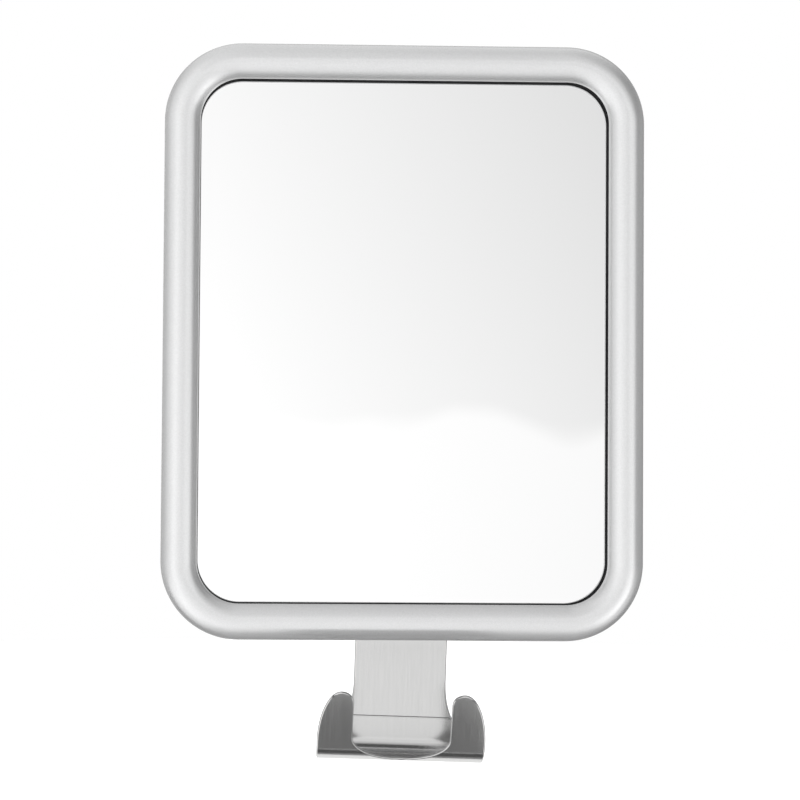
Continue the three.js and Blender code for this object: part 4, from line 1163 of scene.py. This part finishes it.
stem_profile = eased([[0, stem_rear], [stem_flange, stem_rear], [stem_flange, stem_flange_front],
                      [stem_radius, stem_flange_front], [stem_radius, stem_front], [0, stem_front]], 0.5)
stem = skin("cup_stem_turned", turned(stem_profile, 64))
carved(stem, [laid_across([[0, -8], [pin_room, -8], [pin_room, 8], [0, 8]], 40)])
fit(stem, "wall_cup", "screw_steel", "cup_stem")
pin_profile = eased([[0, -pin_half], [pin_radius, -pin_half], [pin_radius, pin_half], [0, pin_half]], 0.3)
fit(skin("lock_pin", laid_across(pin_profile, 48)), "wall_cup", "screw_steel", "cross_pin")

# %% [markdown]
# The studio is a white sweep. What the camera sees directly is plain white, made by the Light Path node,
# while the lamps stay at a level where a colour renders about as it is written. Polished things show
# their surroundings, so reflections get a softer world, the room: bright in front and above, greyer to
# the sides, with a few round patches of light and shade and a wall at the back. In front of the object a
# thin veil darkens it softly, so that the mirror doesn't show one flat white.

# %% World
world = bpy.data.worlds.new("studio")
bpy.context.scene.world = world
world.use_nodes = True
sky = world.node_tree
sky.nodes.clear()
look = add(sky, "SeparateXYZ", {0: add(sky, "TexCoord").outputs["Generated"]}).outputs
rays = add(sky, "LightPath").outputs
front = maths(sky, "MULTIPLY", look[1], -1.0)
forward = maths(sky, "MAXIMUM", front, 0.001)
slope_x = maths(sky, "DIVIDE", look[0], forward)
slope_z = maths(sky, "DIVIDE", look[2], forward)

# %% World: the room that metal shows, by direction
def spot(direction, edge, core, level):
    """Soft round patch of light, or of shade if the level is negative. Edge and core are cosines of the
    angle from its direction."""
    towards = add(sky, "VectorMath", {0: add(sky, "TexCoord").outputs["Generated"], 1: direction},
                  operation="DOT_PRODUCT")
    return remap(sky, towards.outputs["Value"], edge, core, 0.0, level)


sideways = maths(sky, "ARCTAN2", look[0], front)
upwards = maths(sky, "ARCTAN2", look[2], front)
right_wall = maths(sky, "MULTIPLY", remap(sky, sideways, 0.4, 0.7, 1.0, 0.93),
                   remap(sky, sideways, 0.75, 1.17, 1.0, 0.22))
left_wall = remap(sky, sideways, -1.95, -0.8, 0.38, 1.0)
level_weight = remap(sky, maths(sky, "ABSOLUTE", look[2]), 0.5, 0.9, 1.0, 0.0)
walls = blend(sky, level_weight, 1.0, maths(sky, "MULTIPLY", right_wall, left_wall))
ceiling = maths(sky, "ADD", remap(sky, upwards, 0.24, 0.42, 1.04, 0.7),
                remap(sky, upwards, 1.9, 2.5, 0.0, 0.3))
table = maths(sky, "ADD", remap(sky, upwards, -1.5, -0.6, 0.3, 1.0),
              remap(sky, upwards, -2.6, -2.2, 0.7, 0.0))
table = maths(sky, "SUBTRACT", table, remap(sky, upwards, -2.2, -1.45, 0.14, 0.0))
centre_weight = remap(sky, maths(sky, "ABSOLUTE", look[0]), 0.6, 0.95, 1.0, 0.0)
heights = blend(sky, centre_weight, 1.0, maths(sky, "MULTIPLY", ceiling, table))
room = maths(sky, "MULTIPLY", walls, heights)
strip_light = remap(sky, maths(sky, "ABSOLUTE", maths(sky, "ADD", sideways, 0.52)), 0.1, 0.42, 0.2, 0.0)
room = maths(sky, "ADD", room, maths(sky, "MULTIPLY", strip_light, level_weight))
for direction, edge, core, level in (((0.76, -0.34, -0.553), 0.87, 0.98, 0.5),
                                     ((-0.45, -0.78, -0.43), 0.86, 0.99, 0.1),
                                     ((0.625, -0.694, -0.358), 0.925, 0.99, 0.5),
                                     ((-0.683, -0.259, -0.683), 0.85, 0.98, 0.5),
                                     ((0.66, -0.25, 0.7), 0.68, 0.97, -0.3)):
    room = maths(sky, "ADD", room, spot(direction, edge, core, level))
back_wall = remap(sky, look[2], -0.3, 0.12, 0.3, 1.05)
room = blend(sky, remap(sky, look[1], 0.86, 0.96, 0.0, 1.0), room, back_wall)

# %% World: the soft clouds in the mirror
across_level = maths(sky, "MAXIMUM", maths(sky, "ADD", slope_x, 0.031), 0.0)
upper_veil = maths(sky, "MULTIPLY_ADD", across_level, 1.03, 0.047)
upper_veil = maths(sky, "ADD", upper_veil, maths(sky, "MULTIPLY_ADD", slope_z, 0.5, -0.025))
lower_veil = maths(sky, "MULTIPLY", across_level, 0.5)
cloud_place = add(sky, "CombineXYZ", {0: slope_x, 1: slope_z, 2: 0.0}).outputs[0]
billow = add(sky, "TexNoise", {"Vector": cloud_place, "Scale": 15.0, "Detail": 1.0}).outputs[0]
edge_height = maths(sky, "MULTIPLY_ADD", billow, 0.05, -0.03)
above = remap(sky, maths(sky, "SUBTRACT", slope_z, edge_height), -0.009, 0.007, 0.0, 1.0)
veil = maths(sky, "MAXIMUM", blend(sky, above, lower_veil, upper_veil), 0.0)
window = maths(sky, "MULTIPLY", remap(sky, slope_x, 0.2, 0.4, 1.0, 0.0),
               remap(sky, slope_z, 0.17, 0.25, 1.0, 0.0))
veil = maths(sky, "MULTIPLY", veil, window)
front_level = maths(sky, "SUBTRACT", maths(sky, "MULTIPLY", room, 1.045), veil)
front_level = maths(sky, "MAXIMUM", front_level, 0.05)

# %% World: who sees which light
WHITE = (1.0, 1.0, 1.0, 1.0)
glossy_light = add(sky, "Background", {"Color": front_level, "Strength": 1.0}).outputs[0]
seen_light = add(sky, "Background", {"Color": WHITE, "Strength": 1.0}).outputs[0]
plain_light = add(sky, "Background", {"Color": WHITE, "Strength": 0.66}).outputs[0]
soft = either(sky, rays["Is Glossy Ray"], plain_light, glossy_light)
direct = maths(sky, "MAXIMUM", rays["Is Camera Ray"], rays["Is Transmission Ray"])
shown = either(sky, direct, soft, seen_light)
sky.links.new(shown, sky.nodes.new("ShaderNodeOutputWorld").inputs[0])
print("world of", len(sky.nodes), "nodes")

# %% [markdown]
# The floor is white paper. From below it is clear, so that a low view still sees the object. Four level
# cards hang near the hook, and only reflections see them. Photographers use such cards to give steel its
# dark bands. Three are dark, one is a little brighter than white, and Ray Length limits three of them to
# surfaces that are near, since the mirror would show them otherwise when it tilts.

# %% Floor and cards
def staged(thing):
    """Gives an object an empty material named after it. Returns the material's tree."""
    material = bpy.data.materials.new(thing.name)
    material.use_nodes = True
    material.node_tree.nodes.clear()
    thing.data.materials.append(material)
    return material.node_tree


def disc(name, radius, height, steps=96):
    """Flat disc at a height, as a ring of points closed by its middle."""
    angle = np.arange(steps) / steps * FULL
    ring = np.stack([radius * np.cos(angle), radius * np.sin(angle), np.full(steps, height)], -1)
    here = np.arange(steps)
    faces = np.stack([here, (here + 1) % steps, np.full(steps, steps)], -1)
    return shape(name, [*ring.tolist(), [0.0, 0.0, height]], faces.tolist())


floor = disc("floor", 1.3, cad_box[0].z - 0.12)
paper = staged(floor)
matt = add(paper, "BsdfDiffuse", {"Color": (0.86, 0.86, 0.86, 1)}).outputs[0]
glow = add(paper, "Emission", {"Color": WHITE, "Strength": 0.5}).outputs[0]
lit = add(paper, "AddShader", {0: matt, 1: glow}).outputs[0]
from_below = add(paper, "NewGeometry").outputs["Backfacing"]
lit = either(paper, from_below, lit, add(paper, "BsdfTransparent").outputs[0])
seen = either(paper, add(paper, "LightPath").outputs["Is Camera Ray"], matt, lit)
paper.links.new(seen, paper.nodes.new("ShaderNodeOutputMaterial").inputs[0])
floor.visible_glossy = False


def card(name, height, y_range, half_width, level, facing_down_only=False, reach=0.0):
    """Level rectangle that only reflections see: its underside alone, or from no further than its reach."""
    x, (near, far) = half_width, y_range
    corners = [(-x, near, height), (x, near, height), (x, far, height), (-x, far, height)]
    thing = shape(name, corners, [(3, 2, 1, 0)])
    tree = staged(thing)
    shown = add(tree, "Emission", {"Color": WHITE, "Strength": level}).outputs[0]
    clear = add(tree, "BsdfTransparent").outputs[0]
    if facing_down_only:
        shown = either(tree, add(tree, "NewGeometry").outputs["Backfacing"], shown, clear)
    if reach:
        far_away = maths(tree, "GREATER_THAN", add(tree, "LightPath").outputs["Ray Length"], reach)
        shown = either(tree, far_away, shown, clear)
    tree.links.new(shown, tree.nodes.new("ShaderNodeOutputMaterial").inputs[0])
    for kind in ("camera", "diffuse", "shadow", "transmission"):
        setattr(thing, "visible_" + kind, False)
    print(name, "is at z", height)


card("card_below", -0.165, (-0.147, -0.0905), 0.038, 0.21, reach=0.1)
card("card_below_bend", -0.165, (-0.0885, -0.073), 0.038, 0.1, reach=0.1)
card("card_above_trough", -0.1045, (-0.108, -0.078), 0.018, 0.08, facing_down_only=True)
card("card_behind_bend", -0.15, (-0.0685, -0.02), 0.04, 1.1, reach=0.035)

# %% [markdown]
# Three large area lamps give soft shadows. They are kept out of reflections, because their squares would
# show in the mirror and in the steel. What polished things reflect is the room and the cards.

# %% Lamps
lamp_target = Vector((0.0, -0.05, -0.02))


def lamp(name, place_at, size, watts):
    """Square area lamp that points at the object and that reflections don't show."""
    light = bpy.data.lights.new(name, "AREA")
    light.size, light.energy = size, watts
    thing = bpy.data.objects.new(name, light)
    thing.location = place_at
    thing.rotation_euler = (Vector(place_at) - lamp_target).to_track_quat("Z", "Y").to_euler()
    thing.visible_glossy = False
    bpy.context.scene.collection.objects.link(thing)
    print(name, "gives", watts, "watts")


lamp("key_left", (-0.9, -1.1, 0.9), 0.7, 10.0)
lamp("fill_right", (1.1, -0.9, 0.4), 0.9, 3.0)
lamp("rear_left", (-0.8, 1.2, 0.7), 0.8, 8.0)

# %% [markdown]
# The camera stands a little left of the mirror's middle and low, as the photograph's perspective says:
# the hook, which lies behind the frame, is shifted against it, and the dark gasket shows more on the
# right than on the left.

# %% Camera
camera_place = np.array([-45.0, -723.24, -24.21])
yaw, pitch, roll = np.radians([1.4373, 1.7253, 0.4427])
facing = np.array([math.sin(yaw) * math.cos(pitch), math.cos(yaw) * math.cos(pitch), math.sin(pitch)])
level = np.array([math.cos(yaw), -math.sin(yaw), 0.0])
upright = np.cross(level, facing)
right_way = level * math.cos(roll) + upright * math.sin(roll)
up_way = -level * math.sin(roll) + upright * math.cos(roll)
view = bpy.data.cameras.new("camera")
view.sensor_width, view.lens = 36.0, 85.6986
view.shift_x, view.shift_y = 0.1, -0.05717
view.clip_start, view.clip_end = 0.01, 50.0
camera = bpy.data.objects.new("camera", view)
basis = Matrix([right_way, up_way, -facing]).transposed().to_4x4()
basis.translation = Vector(camera_place * MM)
camera.matrix_world = basis
bpy.context.scene.collection.objects.link(camera)
bpy.context.scene.camera = camera
print("camera at", camera_place, "mm with a lens of", view.lens, "mm")

# %% [markdown]
# Standard shows a colour as it is written, while the default, AgX, would make pale surfaces greyer.

# %% Colour management
bpy.context.scene.view_settings.view_transform = "Standard"
print("view transform", bpy.context.scene.view_settings.view_transform)
